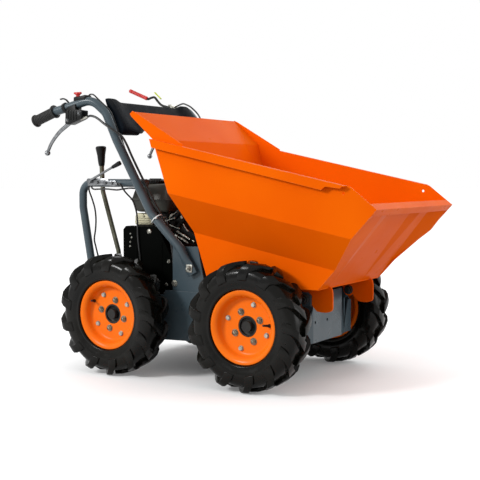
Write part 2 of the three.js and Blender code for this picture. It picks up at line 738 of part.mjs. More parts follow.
// The run of the right-hand bar under the switches.
const switchRun = (x) => {
  const [from, to] = [barPoints[5], barPoints[6]];
  const share = (x - from[0]) / (to[0] - from[0]);
  return from.map((value, i) => value + share * (to[i] - value));
};
const blockAt = ([x, y, z], hx, hy, low, high) => box(x - hx, x + hx, y - hy, y + hy, z - low, z + high);
const saddleRear = switchRun(-172);
const saddleFront = switchRun(-118);
const saddle = plateXZ(
  [
    [saddleRear[0], saddleRear[2] + 2], [saddleFront[0], saddleFront[2] + 2],
    [saddleFront[0], saddleFront[2] + barRadius + 5], [-150, 942], [saddleRear[0] + 2, 941],
  ],
  saddleRear[1] - 9,
  saddleRear[1] + 26,
);
add("stop_switch", cut(join(saddle, bar([-160, -284, 936], [-161, -284, 958], 10, 12)), barSpace), plastic);

const thumbRing = cut(blockAt(switchRun(-208), 6, barRadius + 4, barRadius + 4, barRadius + 4), barSpace);
add(
  "thumb_lever",
  join(
    thumbRing,
    bar([-206, -288, 922.5], [-206, -286, 932], 6, 8),
    bar([-198, -286, 929], [-235, -284, 938], 5.5, 8, 4),
  ),
  plastic,
);

// Lever that unlocks the skip: a mount on the left-hand bar, a cranked arm and a long dipped grip.
const lockY = 225;
const lockPivot = [-125, lockY, 931];
const lockMount = mirrored(blockAt(switchRun(-136), 14, barRadius + 4, barRadius + 4, barRadius + 5));
const lockPlate = cut(
  join(
    lockMount,
    box(-150, -112, lockY + 5, 268, 928, 938),
    plateXZ(
      [[-156, 936], [-150, 916], [-112, 914], [-104, 936], [-118, 944], [-140, 944]],
      lockY + 5,
      lockY + 8,
    ),
  ),
  mirrored(barSpace),
);
const atLock = ([x, z]) => [x, lockY, z];
const lockArm = join(
  tube([[-125, 931], [-179, 947], [-212, 978], [-244, 973], [-270, 983.5]].map(atLock), 4.6, 8, 8, 3),
  bar(atLock([-246, 974]), atLock([-335, 1010]), 6.5, 10),
  bar([lockPivot[0], lockY - 7, lockPivot[2]], [lockPivot[0], lockY + 7, lockPivot[2]], 10, 10),
);
add("tip_lever", join(lockPlate, lockArm), red);

// Hand lever on a plate that is bolted to the outer side of the right-hand hoop.
const hoopPlateY = -hoopY - hoopRadius - gap;
const hoopPlateFoot = 636; // lower edge of the plate
const ferruleY = hoopPlateY - 5.3;
add(
  "hoop_lever",
  join(
    box(-186, -60, hoopPlateY - 3, hoopPlateY, hoopPlateFoot, 662),
    bar([-63, ferruleY, 643], [-48, ferruleY, 643], 5, 8),
    bar([-175, hoopPlateY - 12, 653], [-175, hoopPlateY - 2, 653], 9, 10),
    bar([-175, hoopPlateY - 8, 653], [-66, hoopPlateY - 8, 702], 4, 8),
    bar([-70, hoopPlateY - 8, 700], [-34, hoopPlateY - 8, 716], 8, 10),
  ),
  plastic,
);

const shiftY = -100;
add(
  "gear_lever",
  join(
    tube(
      [[-118, shiftY, engineDeckTop + 5], [-136, shiftY, 400], [-206, shiftY, 615], [-211, shiftY, 720]],
      8.5, 40, 8,
    ),
    bar([-118, shiftY, engineDeckTop + gap], [-118, shiftY, engineDeckTop + 14], 22, 12, 14),
    bar([-211, shiftY, 707], [-211, shiftY, 780], 15, 12, 19),
  ),
  castAlloy,
);

// ---------------------------------------------------------------- engine

const engineFoot = engineDeckTop + gap;
add(
  "engine_block",
  join(
    chamferedBox(engineRear, 120, -149, 120, engineFoot, 500, 18),
    chamferedBox(-20, 112, -110, 118, 499, headTop, 16),
  ),
  castAlloy,
);
const tankLow = headTop + gap;
add(
  "fuel_tank",
  join(
    chamferedBox(tankRear + 5, 126, -150, 96, tankLow, tankTop, 26),
    chamferedBox(tankRear, 131, -155, 101, 586, 590, 30),
    bar([38, -58, tankTop - 1], [38, -58, tankTop + 12], 39, 16),
  ),
  darkGrey,
);
add(
  "air_filter",
  chamferedBox(120 + gap, 172, -140, -20, 400, 538, 12),
  plastic,
);
add("muffler", chamferedBox(120 + gap, 176, 0, 118, 360, 520, 16), blackSteel);
add(
  "recoil_starter",
  bar([46, 120 + gap, 392], [46, 172, 392], 84, 20, 74),
  blackSteel,
);
add(
  "belt_guard",
  plateXZ(
    [
      [guardRear, 283], [guardFront, 283], [guardFront, 392], [104, guardTop], [guardRear + 12, guardTop],
      [guardRear, guardTop - 12],
    ],
    -guardY,
    -149 - gap,
  ),
  blackSteel,
);

// ---------------------------------------------------------------- cables

// The drive cables follow the forward side of the handlebars and run down behind the upstands.
const besideUpstand = [upstandX - 6, -190];
addPair(
  "drive_cable",
  flexible(
    [
      [adjusterEnd[0] + 3 * gap, adjusterEnd[1], adjusterEnd[2] + 0.2], [-99, -292, 874.5], [-74, -292, 868],
      [-35, -291, 843], [-6, -285, 824], [13, -264, 804], [20, -247, 778], [32, -237, 742], [53, -223, 688],
      [79, -209, 628], [110, -207, 574], [140, -205, 528], [162, -200, 474], [172, -194, 410],
      [...besideUpstand, 350], [...besideUpstand, skipDeckTop + gap + 1],
    ],
    4,
    40,
  ),
  cable,
);
add(
  "tip_cable",
  flexible(
    [
      [lockPivot[0] + 10.5, lockY, 936], [-98, 224, 942], [-72, 216, 947], [-35, 190, 940], [10, 160, 924],
      [46, 150, 896], [72, 148, 850], [104, 148, 780], [136, 150, 680], [150, 152, 560],
      [156, 152, 420], [165, 150, 320], [165, 150, skipDeckTop + gap],
    ],
    3,
    48,
  ),
  cable,
);
const plateMiddle = hoopPlateY - 1.5;
const headSide = -110 - gap;
add(
  "hoop_cable_rear",
  flexible(
    [
      [-182, plateMiddle, hoopPlateFoot - gap], [-181, plateMiddle + 1, 618], [-174, -200, 592],
      [-166, -194, 556], [-163, -192, 520], [-166, -191, 483], [-172, -191, 445], [-165, -191, 418],
      [-154, -191, 380], [-146, -191, 320], [-145, -191, engineDeckTop + gap],
    ],
    3,
    28,
  ),
  cable,
);
add(
  "hoop_cable_middle",
  flexible(
    [
      [-168, plateMiddle, hoopPlateFoot - 2 * gap], [-168, plateMiddle, 629], [-161, plateMiddle + 1, 624],
      [-142, -204, 624], [-111, -201, 625], [-82, -200, 623], [-59, -199, 622], [-36, -197, 625],
      [0, -193, 628], [34, -180, 622], [50, -165, 600], [57, -158, 566], [58, -156, 547],
      [61, -144, 530], [62, -126, 522], [62, headSide, 521],
    ],
    3,
    38,
  ),
  cable,
);
const alongGuard = -guardY - 4.5;
add(
  "hoop_cable_front",
  flexible(
    [
      [-48 + 2 * gap, ferruleY, 643], [-40, ferruleY, 643], [-32, -209, 634], [-24, -207, 621],
      [-14, -201, 607], [2, -194, 588], [13, -192, 562], [19, -191, 537], [21, alongGuard, 500], [22, alongGuard, 465],
      [26, alongGuard, 427], [31, alongGuard, 390], [35, alongGuard, 330],
      [35, alongGuard, engineDeckTop + gap],
    ],
    3,
    36,
  ),
  cable,
);

// ---------------------------------------------------------------- origin

const bounds = new THREE.Box3().setFromObject(machine);
machine.position.x = -(bounds.min.x + bounds.max.x) / 2;
machine.updateMatrixWorld(true);

export default machine;
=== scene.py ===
import math

import bmesh
import bpy
from mathutils import Matrix, Vector


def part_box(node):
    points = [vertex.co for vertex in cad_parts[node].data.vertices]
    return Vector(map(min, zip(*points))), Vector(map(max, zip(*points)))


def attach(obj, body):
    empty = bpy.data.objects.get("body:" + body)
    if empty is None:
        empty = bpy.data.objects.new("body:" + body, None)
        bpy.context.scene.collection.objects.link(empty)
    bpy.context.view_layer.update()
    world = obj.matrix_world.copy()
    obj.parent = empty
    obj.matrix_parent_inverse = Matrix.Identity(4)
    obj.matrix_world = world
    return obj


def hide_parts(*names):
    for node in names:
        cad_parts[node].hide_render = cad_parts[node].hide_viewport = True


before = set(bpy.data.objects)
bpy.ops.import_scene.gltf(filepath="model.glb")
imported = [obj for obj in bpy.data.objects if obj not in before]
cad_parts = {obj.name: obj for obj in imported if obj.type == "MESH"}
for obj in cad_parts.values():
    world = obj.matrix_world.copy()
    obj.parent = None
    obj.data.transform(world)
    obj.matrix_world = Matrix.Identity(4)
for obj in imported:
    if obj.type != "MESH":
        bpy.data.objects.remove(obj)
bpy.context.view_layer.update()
scene = bpy.context.scene
mm = 0.001

# The machine is drawn in millimetres from the middle of the rear axle on the ground.
rearLow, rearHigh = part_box("tyre_rear_right")
frontLow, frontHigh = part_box("tyre_front_right")
axleX = (rearLow.x + rearHigh.x) / 2
wheelBase = ((frontLow.x + frontHigh.x) / 2 - axleX) / mm
wheelZ = (rearLow.z + rearHigh.z) / 2 / mm
wheelY = abs(rearLow.y + rearHigh.y) / 2 / mm
chassisBody, skipBody = "chassis", "skip"
sides = {"right": -1, "left": 1}
forward, upward = (1, 0, 0), (0, 0, 1)
leftward, rightward = (0, 1, 0), (0, -1, 0)


def at(x, y, z):
    return Vector((axleX + x * mm, y * mm, z * mm))


cameraView = {"lens": 72.522, "sensor": 36, "yaw": 31.64, "pitch": 3.635, "place": (2072.0, -2844.4, 661.3)}


def addCamera(view):
    lens = bpy.data.cameras.new("camera")
    lens.lens = view["lens"]
    lens.sensor_width = view["sensor"]
    camera = bpy.data.objects.new("camera", lens)
    scene.collection.objects.link(camera)
    yaw = math.radians(view["yaw"])
    pitch = math.radians(view["pitch"])
    level = math.cos(pitch)
    ahead = Vector((-math.sin(yaw) * level, math.cos(yaw) * level, -math.sin(pitch)))
    camera.location = at(*view["place"])
    camera.rotation_euler = ahead.to_track_quat("-Z", "Y").to_euler()
    scene.camera = camera


def rgb(red, green, blue):
    # Linear colour of screen values 0 to 255.
    out = []
    for value in (red, green, blue):
        v = value / 255
        out.append(v / 12.92 if v <= 0.04045 else ((v + 0.055) / 1.055) ** 2.4)
    return (*out, 1)


def feed(tree, kind, inputs, output=0, **values):
    # Makes a node, wires a socket or sets a plain value at each input, and gives one output.
    made = tree.nodes.new(kind)
    for key, value in values.items():
        setattr(made, key, value)
    for label, source in inputs.items():
        if isinstance(source, bpy.types.NodeSocket):
            tree.links.new(source, made.inputs[label])
        else:
            made.inputs[label].default_value = source
    return made.outputs[output]


def calc(tree, operation, first, second, clamp=False):
    return feed(tree, "ShaderNodeMath", {0: first, 1: second}, operation=operation, use_clamp=clamp)


def stretch(tree, value, low, high, outLow=0.0, outHigh=1.0):
    inputs = {0: value, 1: low, 2: high, 3: outLow, 4: outHigh}
    return feed(tree, "ShaderNodeMapRange", inputs, "Result")


def onPiece(tree):
    return feed(tree, "ShaderNodeTexCoord", {}, "Object")


def noise(tree, scale, detail=3.0, rough=0.5, place=None):
    inputs = {"Vector": place or onPiece(tree), "Scale": scale, "Detail": detail, "Roughness": rough}
    return feed(tree, "ShaderNodeTexNoise", inputs, "Fac")


def clouds(tree, low, high, scale, detail=3.0, rough=0.5):
    # Noise from 0 at low to 1 at high.
    return stretch(tree, noise(tree, scale, detail, rough), low, high)


def blend(tree, mask, first, second):
    return feed(tree, "ShaderNodeMix", {"Factor": mask, 6: first, 7: second}, 2, data_type="RGBA")


def edgeWearAndHighlight(tree, given):
    # Where a short-range rounded normal turns away from the face's own normal there is an edge; edges are
    # marked for wear and for a painted highlight.
    rounded = feed(tree, "ShaderNodeBevel", {"Radius": given["Radius"]}, samples=4)
    face = feed(tree, "ShaderNodeNewGeometry", {}, "Normal")
    alike = feed(tree, "ShaderNodeVectorMath", {0: rounded, 1: face}, "Value", operation="DOT_PRODUCT")
    leaning = stretch(tree, calc(tree, "SUBTRACT", 1.0, alike), 0.01, 0.16)
    wornAndHighlit = calc(tree, "MULTIPLY", leaning, clouds(tree, 0.42, 0.66, given["Breakup"], 5.0, 0.65))
    return {"Mask": calc(tree, "MULTIPLY", wornAndHighlit, given["Amount"], True)}


def sprayCoat(tree, given):
    # Orange peel and fine speck of a sprayed or powder-coated sheet, with slow changes of tone.
    peel = noise(tree, given["Peel"], 1.5, 0.4)
    speck = calc(tree, "MULTIPLY", noise(tree, given["Speck"], 1.0, 0.5), 0.25)
    return {
        "Height": calc(tree, "ADD", peel, speck),
        "Tone": clouds(tree, 0.3, 0.7, 3.2, 2.0),
        "Gloss": clouds(tree, 0.3, 0.72, 17.0, 4.0, 0.6),
    }


def settledDust(tree, given):
    # Dust lies on what faces up and rises from the ground.
    normal = feed(tree, "ShaderNodeNewGeometry", {}, "Normal")
    place = feed(tree, "ShaderNodeNewGeometry", {}, "Position")
    facingUp = stretch(tree, feed(tree, "ShaderNodeSeparateXYZ", {0: normal}, "Z"), 0.2, 0.95)
    nearGround = stretch(tree, feed(tree, "ShaderNodeSeparateXYZ", {0: place}, "Z"), given["Splash"], 0.0)
    anywhere = calc(tree, "MAXIMUM", facingUp, nearGround)
    lying = calc(tree, "MULTIPLY", anywhere, clouds(tree, 0.35, 0.75, 26.0, 6.0, 0.7))
    return {"Mask": calc(tree, "MULTIPLY", lying, given["Amount"], True)}


def mouldGrain(tree, given):
    # Leathery cells of moulded plastic and rubber, or the sandy skin of a casting.
    inputs = {"Vector": onPiece(tree), "Scale": given["Scale"]}
    cells = feed(tree, "ShaderNodeTexVoronoi", inputs, "Distance", feature="SMOOTH_F1")
    fine = noise(tree, calc(tree, "MULTIPLY", given["Scale"], 2.3), 3.0, given["Rough"])
    return {
        "Height": calc(tree, "ADD", cells, calc(tree, "MULTIPLY", fine, 0.6)),
        "Tone": clouds(tree, 0.3, 0.7, 9.0),
        "Gloss": clouds(tree, 0.3, 0.7, 45.0, 4.0, 0.65),
    }


def drawnMetal(tree, given):
    # Faint rolling lines and soft clouds of a plated or drawn metal.
    inputs = {"Vector": onPiece(tree), "Scale": (1.0, 1.0, 0.12)}
    drawnOut = feed(tree, "ShaderNodeMapping", inputs, vector_type="POINT")
    return {
        "Height": noise(tree, given["Scale"], 2.0, 0.6, drawnOut),
        "Tone": clouds(tree, 0.3, 0.7, 60.0, 4.0, 0.6),
        "Gloss": clouds(tree, 0.3, 0.7, 240.0, 3.0, 0.6),
    }


def groupOf(effect, **inputs):
    # A shader node group with named inputs; the effect gives its outputs by name.
    tree = bpy.data.node_groups.new(effect.__name__, "ShaderNodeTree")
    for label, value in inputs.items():
        socket = tree.interface.new_socket(name=label, in_out="INPUT", socket_type="NodeSocketFloat")
        socket.default_value = value
    made = effect(tree, tree.nodes.new("NodeGroupInput").outputs)
    for label in made:
        tree.interface.new_socket(name=label, in_out="OUTPUT", socket_type="NodeSocketFloat")
    out = tree.nodes.new("NodeGroupOutput").inputs
    for label, source in made.items():
        tree.links.new(source, out[label])
    return tree


groups = {
    "edgeWearAndHighlight": groupOf(edgeWearAndHighlight, Radius=0.0015, Breakup=90.0, Amount=1.0),
    "sprayCoat": groupOf(sprayCoat, Peel=420.0, Speck=1600.0),
    "settledDust": groupOf(settledDust, Amount=0.3, Splash=0.25),
    "mouldGrain": groupOf(mouldGrain, Scale=900.0, Rough=0.5),
    "drawnMetal": groupOf(drawnMetal, Scale=700.0),
}
plainLook = {  # what a finish has unless its own look says otherwise; edge and depth in millimetres
    "edge": 1.5, "wearAndHighlight": 0.3, "dust": 0.1, "dustColour": (150, 140, 120), "dustRoughness": 0.45,
    "relief": 0.3, "depth": 0.1, "metal": 0.0, "shine": 0.5, "index": 1.45,
}
# under: the paler tint that edges take, partly wear and partly a painted edge highlight.
looks = {
    "skipPaint": {
        "skin": "sprayCoat", "grain": {"Peel": 260, "Speck": 1500}, "dark": (231, 91, 2),
        "light": (240, 102, 3), "under": (250, 158, 84), "gloss": (0.27, 0.38), "relief": 0.22,
        "depth": 0.12, "edge": 1.8, "wearAndHighlight": 0.75, "dust": 0.03, "index": 1.06},
    # The rims' orange is painted a little lighter than the skip's to make up for the shade in the wheel dish:
    # painted light.
    "rimPaintLightened": {
        "skin": "sprayCoat", "grain": {"Peel": 520, "Speck": 1900}, "dark": (241, 104, 9),
        "light": (249, 118, 18), "under": (252, 166, 96), "gloss": (0.2, 0.34), "relief": 0.2,
        "edge": 1.2, "wearAndHighlight": 0.4, "dust": 0.05, "index": 1.2},
    "framePaint": {
        "skin": "sprayCoat", "grain": {"Peel": 700, "Speck": 2300}, "dark": (57, 70, 77),
        "light": (69, 82, 89), "under": (134, 142, 146), "gloss": (0.24, 0.38), "relief": 0.24,
        "edge": 1.2, "wearAndHighlight": 0.45, "dust": 0.07, "index": 1.34},
    "axlePaint": {
        "skin": "mouldGrain", "grain": {"Scale": 520}, "dark": (20, 21, 22), "light": (31, 32, 33),
        "under": (96, 94, 88), "gloss": (0.4, 0.6), "relief": 0.5, "depth": 0.25, "wearAndHighlight": 0.4,
        "dust": 0.3, "shine": 0.25},
    "guardPaint": {
        "skin": "sprayCoat", "grain": {"Peel": 900, "Speck": 2600}, "dark": (5, 6, 5),
        "light": (9, 10, 9), "under": (52, 54, 54), "gloss": (0.34, 0.48), "relief": 0.35, "edge": 1.0,
        "dust": 0.01, "index": 1.05},
    "tankPaint": {
        "skin": "sprayCoat", "grain": {"Peel": 800, "Speck": 2400}, "dark": (50, 51, 47),
        "light": (64, 65, 60), "under": (112, 112, 106), "gloss": (0.3, 0.42), "relief": 0.22,
        "depth": 0.08, "edge": 1.0, "dust": 0.06, "shine": 0.2},
    "engineBlack": {
        "skin": "mouldGrain", "grain": {"Scale": 700}, "dark": (7, 7, 7), "light": (14, 14, 13),
        "under": (70, 70, 66), "gloss": (0.36, 0.55), "relief": 0.4, "depth": 0.15, "edge": 1.0,
        "wearAndHighlight": 0.35, "dust": 0.04, "index": 1.15},
    "shellPlastic": {
        "skin": "mouldGrain", "grain": {"Scale": 1100}, "dark": (16, 21, 27), "light": (23, 29, 36),
        "under": (46, 52, 60), "gloss": (0.34, 0.46), "relief": 0.2, "depth": 0.06, "edge": 1.4,
        "wearAndHighlight": 0.1, "index": 1.05},
    "blackPlastic": {
        "skin": "mouldGrain", "grain": {"Scale": 1500}, "dark": (8, 9, 9), "light": (16, 17, 17),
        "under": (66, 68, 68), "gloss": (0.32, 0.46), "depth": 0.06, "edge": 0.8, "wearAndHighlight": 0.25,
        "dust": 0.04, "shine": 0.2},
    "gripRubber": {
        "skin": "mouldGrain", "grain": {"Scale": 1700}, "dark": (16, 16, 16), "light": (28, 28, 27),
        "under": (70, 70, 68), "gloss": (0.45, 0.62), "relief": 0.5, "edge": 0.8, "wearAndHighlight": 0.2,
        "dust": 0.06, "shine": 0.35},
    "tyreRubber": {
        "skin": "mouldGrain", "grain": {"Scale": 620}, "dark": (5, 5, 4), "light": (14, 13, 9),
        "under": (46, 42, 34), "gloss": (0.12, 0.32), "relief": 0.12, "depth": 0.08, "wearAndHighlight": 0.15,
        "dust": 0.03, "dustColour": (80, 70, 54), "index": 1.24},
    "cableSheath": {
        "skin": "mouldGrain", "grain": {"Scale": 1900}, "dark": (11, 11, 12), "light": (22, 22, 22),
        "under": (60, 60, 60), "gloss": (0.26, 0.4), "relief": 0.25, "depth": 0.05, "edge": 0.5,
        "wearAndHighlight": 0.1, "dust": 0.05, "shine": 0.45},
    "zincPlate": {
        "skin": "drawnMetal", "grain": {"Scale": 900}, "dark": (128, 127, 120), "light": (168, 167, 158),
        "under": (206, 205, 196), "gloss": (0.24, 0.4), "metal": 1.0, "relief": 0.08, "depth": 0.03,
        "edge": 0.6, "wearAndHighlight": 0.5, "dust": 0.06},
    "leverSteel": {
        "skin": "drawnMetal", "grain": {"Scale": 700}, "dark": (92, 94, 96), "light": (132, 134, 136),
        "under": (170, 172, 174), "gloss": (0.2, 0.32), "metal": 1.0, "relief": 0.05, "depth": 0.03,
        "edge": 0.6, "dust": 0.06},
    "darkNut": {
        "skin": "drawnMetal", "grain": {"Scale": 800}, "dark": (96, 92, 80), "light": (146, 140, 124),
        "under": (190, 184, 168), "gloss": (0.26, 0.44), "metal": 1.0, "relief": 0.1, "depth": 0.03,
        "edge": 0.6, "wearAndHighlight": 0.6, "dust": 0.08},
    "gearRod": {
        "skin": "drawnMetal", "grain": {"Scale": 500}, "dark": (74, 74, 62), "light": (104, 104, 88),
        "under": (150, 150, 134), "gloss": (0.34, 0.5), "metal": 0.55, "relief": 0.2, "depth": 0.05,
        "edge": 0.6},
    "castAlloy": {
        "skin": "mouldGrain", "grain": {"Scale": 480}, "dark": (150, 146, 122), "light": (186, 182, 154),
        "under": (214, 210, 188), "gloss": (0.42, 0.6), "metal": 0.35, "relief": 0.6, "depth": 0.2,
        "edge": 1.0, "wearAndHighlight": 0.4, "dust": 0.15},
    "redPlastic": {
        "skin": "mouldGrain", "grain": {"Scale": 1600}, "dark": (176, 20, 14), "light": (206, 32, 22),
        "under": (224, 90, 74), "gloss": (0.26, 0.38), "relief": 0.2, "depth": 0.05, "edge": 0.6,
        "wearAndHighlight": 0.2, "dust": 0.04},
    "yellowPlastic": {
        "skin": "mouldGrain", "grain": {"Scale": 1600}, "dark": (176, 190, 40), "light": (206, 216, 66),
        "under": (226, 232, 130), "gloss": (0.3, 0.44), "relief": 0.2, "depth": 0.05, "edge": 0.6,
        "wearAndHighlight": 0.2, "dust": 0.04},
    "whiteNylon": {
        "skin": "mouldGrain", "grain": {"Scale": 1800}, "dark": (196, 198, 196),
        "light": (224, 226, 224), "under": (240, 240, 240), "gloss": (0.34, 0.48), "relief": 0.15,
        "depth": 0.04, "edge": 0.4, "wearAndHighlight": 0.1, "dust": 0.06},
}


def useGroup(tree, name, **values):
    made = tree.nodes.new("ShaderNodeGroup")
    made.node_tree = groups[name]
    for label, value in values.items():
        made.inputs[label].default_value = value
    return made.outputs


def finishFrom(name, own):
    look = {**plainLook, **own}
    material = bpy.data.materials.new(name)
    material.use_nodes = True
    tree = material.node_tree
    shader = tree.nodes["Principled BSDF"].inputs
    skin = useGroup(tree, look["skin"], **look["grain"])
    base = blend(tree, skin["Tone"], rgb(*look["dark"]), rgb(*look["light"]))
    wornAndHighlit = useGroup(tree, "edgeWearAndHighlight", Radius=look["edge"] * mm, Amount=look["wearAndHighlight"])["Mask"]
    dusty = useGroup(tree, "settledDust", Amount=look["dust"])["Mask"]
    # Edges take a paler tint of the finish's own colour: partly wear, partly a painted edge highlight.
    colour = blend(tree, wornAndHighlit, base, rgb(*look["under"]))
    tree.links.new(blend(tree, dusty, colour, rgb(*look["dustColour"])), shader["Base Color"])
    gloss = stretch(tree, skin["Gloss"], 0.0, 1.0, *look["gloss"])
    dulled = calc(tree, "MULTIPLY", dusty, look["dustRoughness"])
    tree.links.new(calc(tree, "ADD", gloss, dulled, True), shader["Roughness"])
    relief = {"Strength": look["relief"], "Distance": look["depth"] * mm, "Height": skin["Height"]}
    tree.links.new(feed(tree, "ShaderNodeBump", relief), shader["Normal"])
    shader["Metallic"].default_value = look["metal"]
    shader["Specular IOR Level"].default_value = look["shine"]
    shader["IOR"].default_value = look["index"]
    return material


finishes = {name: finishFrom(name, look) for name, look in looks.items()}
print("finishes made")


def newPiece(name, bm, finish, nodes=(), sharp=38, body=chassisBody):
    bmesh.ops.recalc_face_normals(bm, faces=bm.faces)
    mesh = bpy.data.meshes.new(name)
    bm.to_mesh(mesh)
    bm.free()
    mesh.materials.append(finishes[finish])
    for face in mesh.polygons:
        face.use_smooth = True
    mesh.set_sharp_from_angle(angle=math.radians(sharp))
    piece = bpy.data.objects.new(name, mesh)
    scene.collection.objects.link(piece)
    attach(piece, body)
    if nodes:
        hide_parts(*nodes)
    return piece


def merge(bm, part, matrix=None):
    # Adds the faces of part to bm and frees part.
    if matrix is not None:
        part.transform(matrix)
    mesh = bpy.data.meshes.new("part")
    part.to_mesh(mesh)
    part.free()
    bm.from_mesh(mesh)
    bpy.data.meshes.remove(mesh)


def joinRings(bm, first, second):
    # Faces between two rings, either of which may be one point.
    count = max(len(first), len(second))
    for i in range(count if count > 1 else 0):
        j = (i + 1) % count
        corners = [ring[k % len(ring)] for ring, k in ((first, i), (first, j), (second, j), (second, i))]
        bm.faces.new(list(dict.fromkeys(corners)))


def joinAll(bm, rings):
    # Faces from each ring to the next and over both ends.
    for first, second in zip(rings, rings[1:]):
        joinRings(bm, first, second)
    bm.faces.new(rings[0])
    bm.faces.new(rings[-1])


def turned(bm, profile, centre, axis, steps=48, loop=False, roll=0.0):
    # Profile holds (along the axis, radius) in millimetres; the centre is a vector or such a place.
    centre = at(*centre) if isinstance(centre, tuple) else centre
    axis = Vector(axis).normalized()
    side = Matrix.Rotation(roll, 3, axis) @ axis.orthogonal().normalized()
    across = axis.cross(side)
    rings = []
    for along, radius in profile:
        middle = centre + axis * along * mm
        if radius < 0.001:
            rings.append([bm.verts.new(middle)])
            continue
        ring = []
        for i in range(steps):
            angle = 2 * math.pi * i / steps
            out = side * math.cos(angle) + across * math.sin(angle)
            ring.append(bm.verts.new(middle + out * radius * mm))
        rings.append(ring)
    for first, second in zip(rings, rings[1:]):
        joinRings(bm, first, second)
    if loop:
        joinRings(bm, rings[-1], rings[0])


def throughPoints(knots, steps):
    # Centripetal Catmull-Rom curve through the knots.
    ends = [2 * knots[0] - knots[1]] + knots + [2 * knots[-1] - knots[-2]]
    path = []
    for a, b, c, d in zip(ends, ends[1:], ends[2:], ends[3:]):
        t1 = (b - a).length ** 0.5
        t2 = t1 + (c - b).length ** 0.5
        t3 = t2 + (d - c).length ** 0.5
        for k in range(steps):
            t = t1 + (t2 - t1) * k / steps
            ab = a * (t1 - t) / t1 + b * t / t1
            bc = b * (t2 - t) / (t2 - t1) + c * (t - t1) / (t2 - t1)
            cd = c * (t3 - t) / (t3 - t2) + d * (t - t2) / (t3 - t2)
            abc = ab * (t2 - t) / t2 + bc * t / t2
            bcd = bc * (t3 - t) / (t3 - t1) + cd * (t - t1) / (t3 - t1)
            path.append(abc * (t2 - t) / (t2 - t1) + bcd * (t - t1) / (t2 - t1))
    path.append(knots[-1])
    return path


def curved(points, steps):
    return throughPoints([at(*p) for p in points], steps)


def bentPath(points, bend, steps=9):
    # Straight runs through the points, joined by arcs of radius bend.
    corners = [at(*p) for p in points]
    path = [corners[0]]
    for before, corner, after in zip(corners, corners[1:], corners[2:]):
        into = (corner - before).normalized()
        out = (after - corner).normalized()
        turn = into.angle(out)
        if turn < 0.01:
            path.append(corner)
            continue
        room = 0.48 * min((corner - before).length, (after - corner).length)
        reach = min(bend * mm * math.tan(turn / 2), room)
        radius = reach / math.tan(turn / 2)
        inward = (out - into * out.dot(into)).normalized()
        middle = corner - into * reach + inward * radius
        for k in range(steps + 1):
            angle = turn * k / steps
            path.append(middle + (into * math.sin(angle) - inward * math.cos(angle)) * radius)
    path.append(corners[-1])
    return path


def sweep(bm, path, sizes, count=20, up=leftward):
    # Sizes holds a radius, or a pair of half sizes, for each point of the path, in millimetres.
    rings = []
    normal = Vector(up)
    for i, point in enumerate(path):
        tangent = (path[min(i + 1, len(path) - 1)] - path[max(i - 1, 0)]).normalized()
        normal = (normal - tangent * normal.dot(tangent)).normalized()
        across = tangent.cross(normal)
        size = sizes[i] if isinstance(sizes, list) else sizes
        wide, deep = size if isinstance(size, tuple) else (size, size)
        ring = []
        for k in range(count):
            angle = 2 * math.pi * k / count
            out = normal * math.cos(angle) * wide + across * math.sin(angle) * deep
            ring.append(bm.verts.new(point + out * mm))
        rings.append(ring)
    joinAll(bm, rings)


def tube(bm, path, radius, count=20, chamfer=0.8):
    # A round bar along the path with its end edges broken.
    start = path[0] + (path[1] - path[0]).normalized() * chamfer * mm
    end = path[-1] + (path[-2] - path[-1]).normalized() * chamfer * mm
    whole = [path[0], start] + path[1:-1] + [end, path[-1]]
    sizes = [radius - chamfer] + [radius] * (len(whole) - 2) + [radius - chamfer]
    sweep(bm, whole, sizes, count)


def soften(bm, turn, width, segments=2, profile=0.5):
    # Rounds the edges that turn by more than that angle.
    edges = [e for e in bm.edges if e.calc_face_angle(0) > turn]
    bmesh.ops.bevel(bm, geom=edges, offset=width * mm, segments=segments, profile=profile, affect="EDGES",
                    clamp_overlap=True)


def slab(bm, outline, low, high, axis="y", soft=0.8, segments=2):
    # An outline in XZ (axis y) or XY (axis z), as thick as low to high, with soft edges.
    part = bmesh.new()
    rings = []
    for level in (low, high):
        places = [(a, level, b) if axis == "y" else (a, b, level) for a, b in outline]
        rings.append([part.verts.new(at(*place)) for place in places])
    part.faces.new(rings[0])
    part.faces.new(rings[1])
    joinRings(part, *rings)
    bmesh.ops.recalc_face_normals(part, faces=part.faces)
    soften(part, 0.5, soft, segments)
    merge(bm, part)


def facing(bm, outline, outward, low, high, soft=0.8, segments=2):
    # A slab between two distances on one side of the machine.
    slab(bm, outline, *sorted((outward * low, outward * high)), "y", soft, segments)


def block(bm, low, high, soft=1.0, segments=2):
    outline = [(low[0], low[1]), (high[0], low[1]), (high[0], high[1]), (low[0], high[1])]
    slab(bm, outline, low[2], high[2], "z", soft, segments)


def hexHead(bm, centre, axis, across, tall, washer=0.0, roll=0.0):
    # A hexagon head or nut, on a washer of that radius.
    base = 0.0
    if washer:
        base = 1.8
        profile = [(0, 0), (0, washer - 0.4), (0.4, washer), (1.4, washer), (base, washer - 0.5), (base, 0)]
        turned(bm, profile, centre, axis, 32)
    radius = across / math.sqrt(3)
    top = base + tall
    profile = [(base, 0), (base, radius), (top - 1.2, radius), (top, radius * 0.86), (top, 0)]
    turned(bm, profile, centre, axis, 6, roll=roll)


def domeHead(bm, centre, axis, radius, tall):
    # A round head with a drive recess, its profile in shares of the height and the radius.
    shares = [(0, 0), (0, 1), (0.3, 0.98), (0.75, 0.8), (1, 0.42), (0.6, 0.34), (0.6, 0)]
    turned(bm, [(tall * along, radius * out) for along, out in shares], centre, axis, 24)


def baked(piece):
    # Applies the piece's modifiers to its mesh.
    evaluated = piece.evaluated_get(bpy.context.evaluated_depsgraph_get())
    mesh = bpy.data.meshes.new_from_object(evaluated)
    piece.modifiers.clear()
    piece.data = mesh


forming = {  # distances in millimetres, turns in degrees
    "weld": 0.02, "flat": 1.5, "flatDrilled": 1.0, "corner": 48, "edge": 28, "fold": 6, "smooth": 180,
}


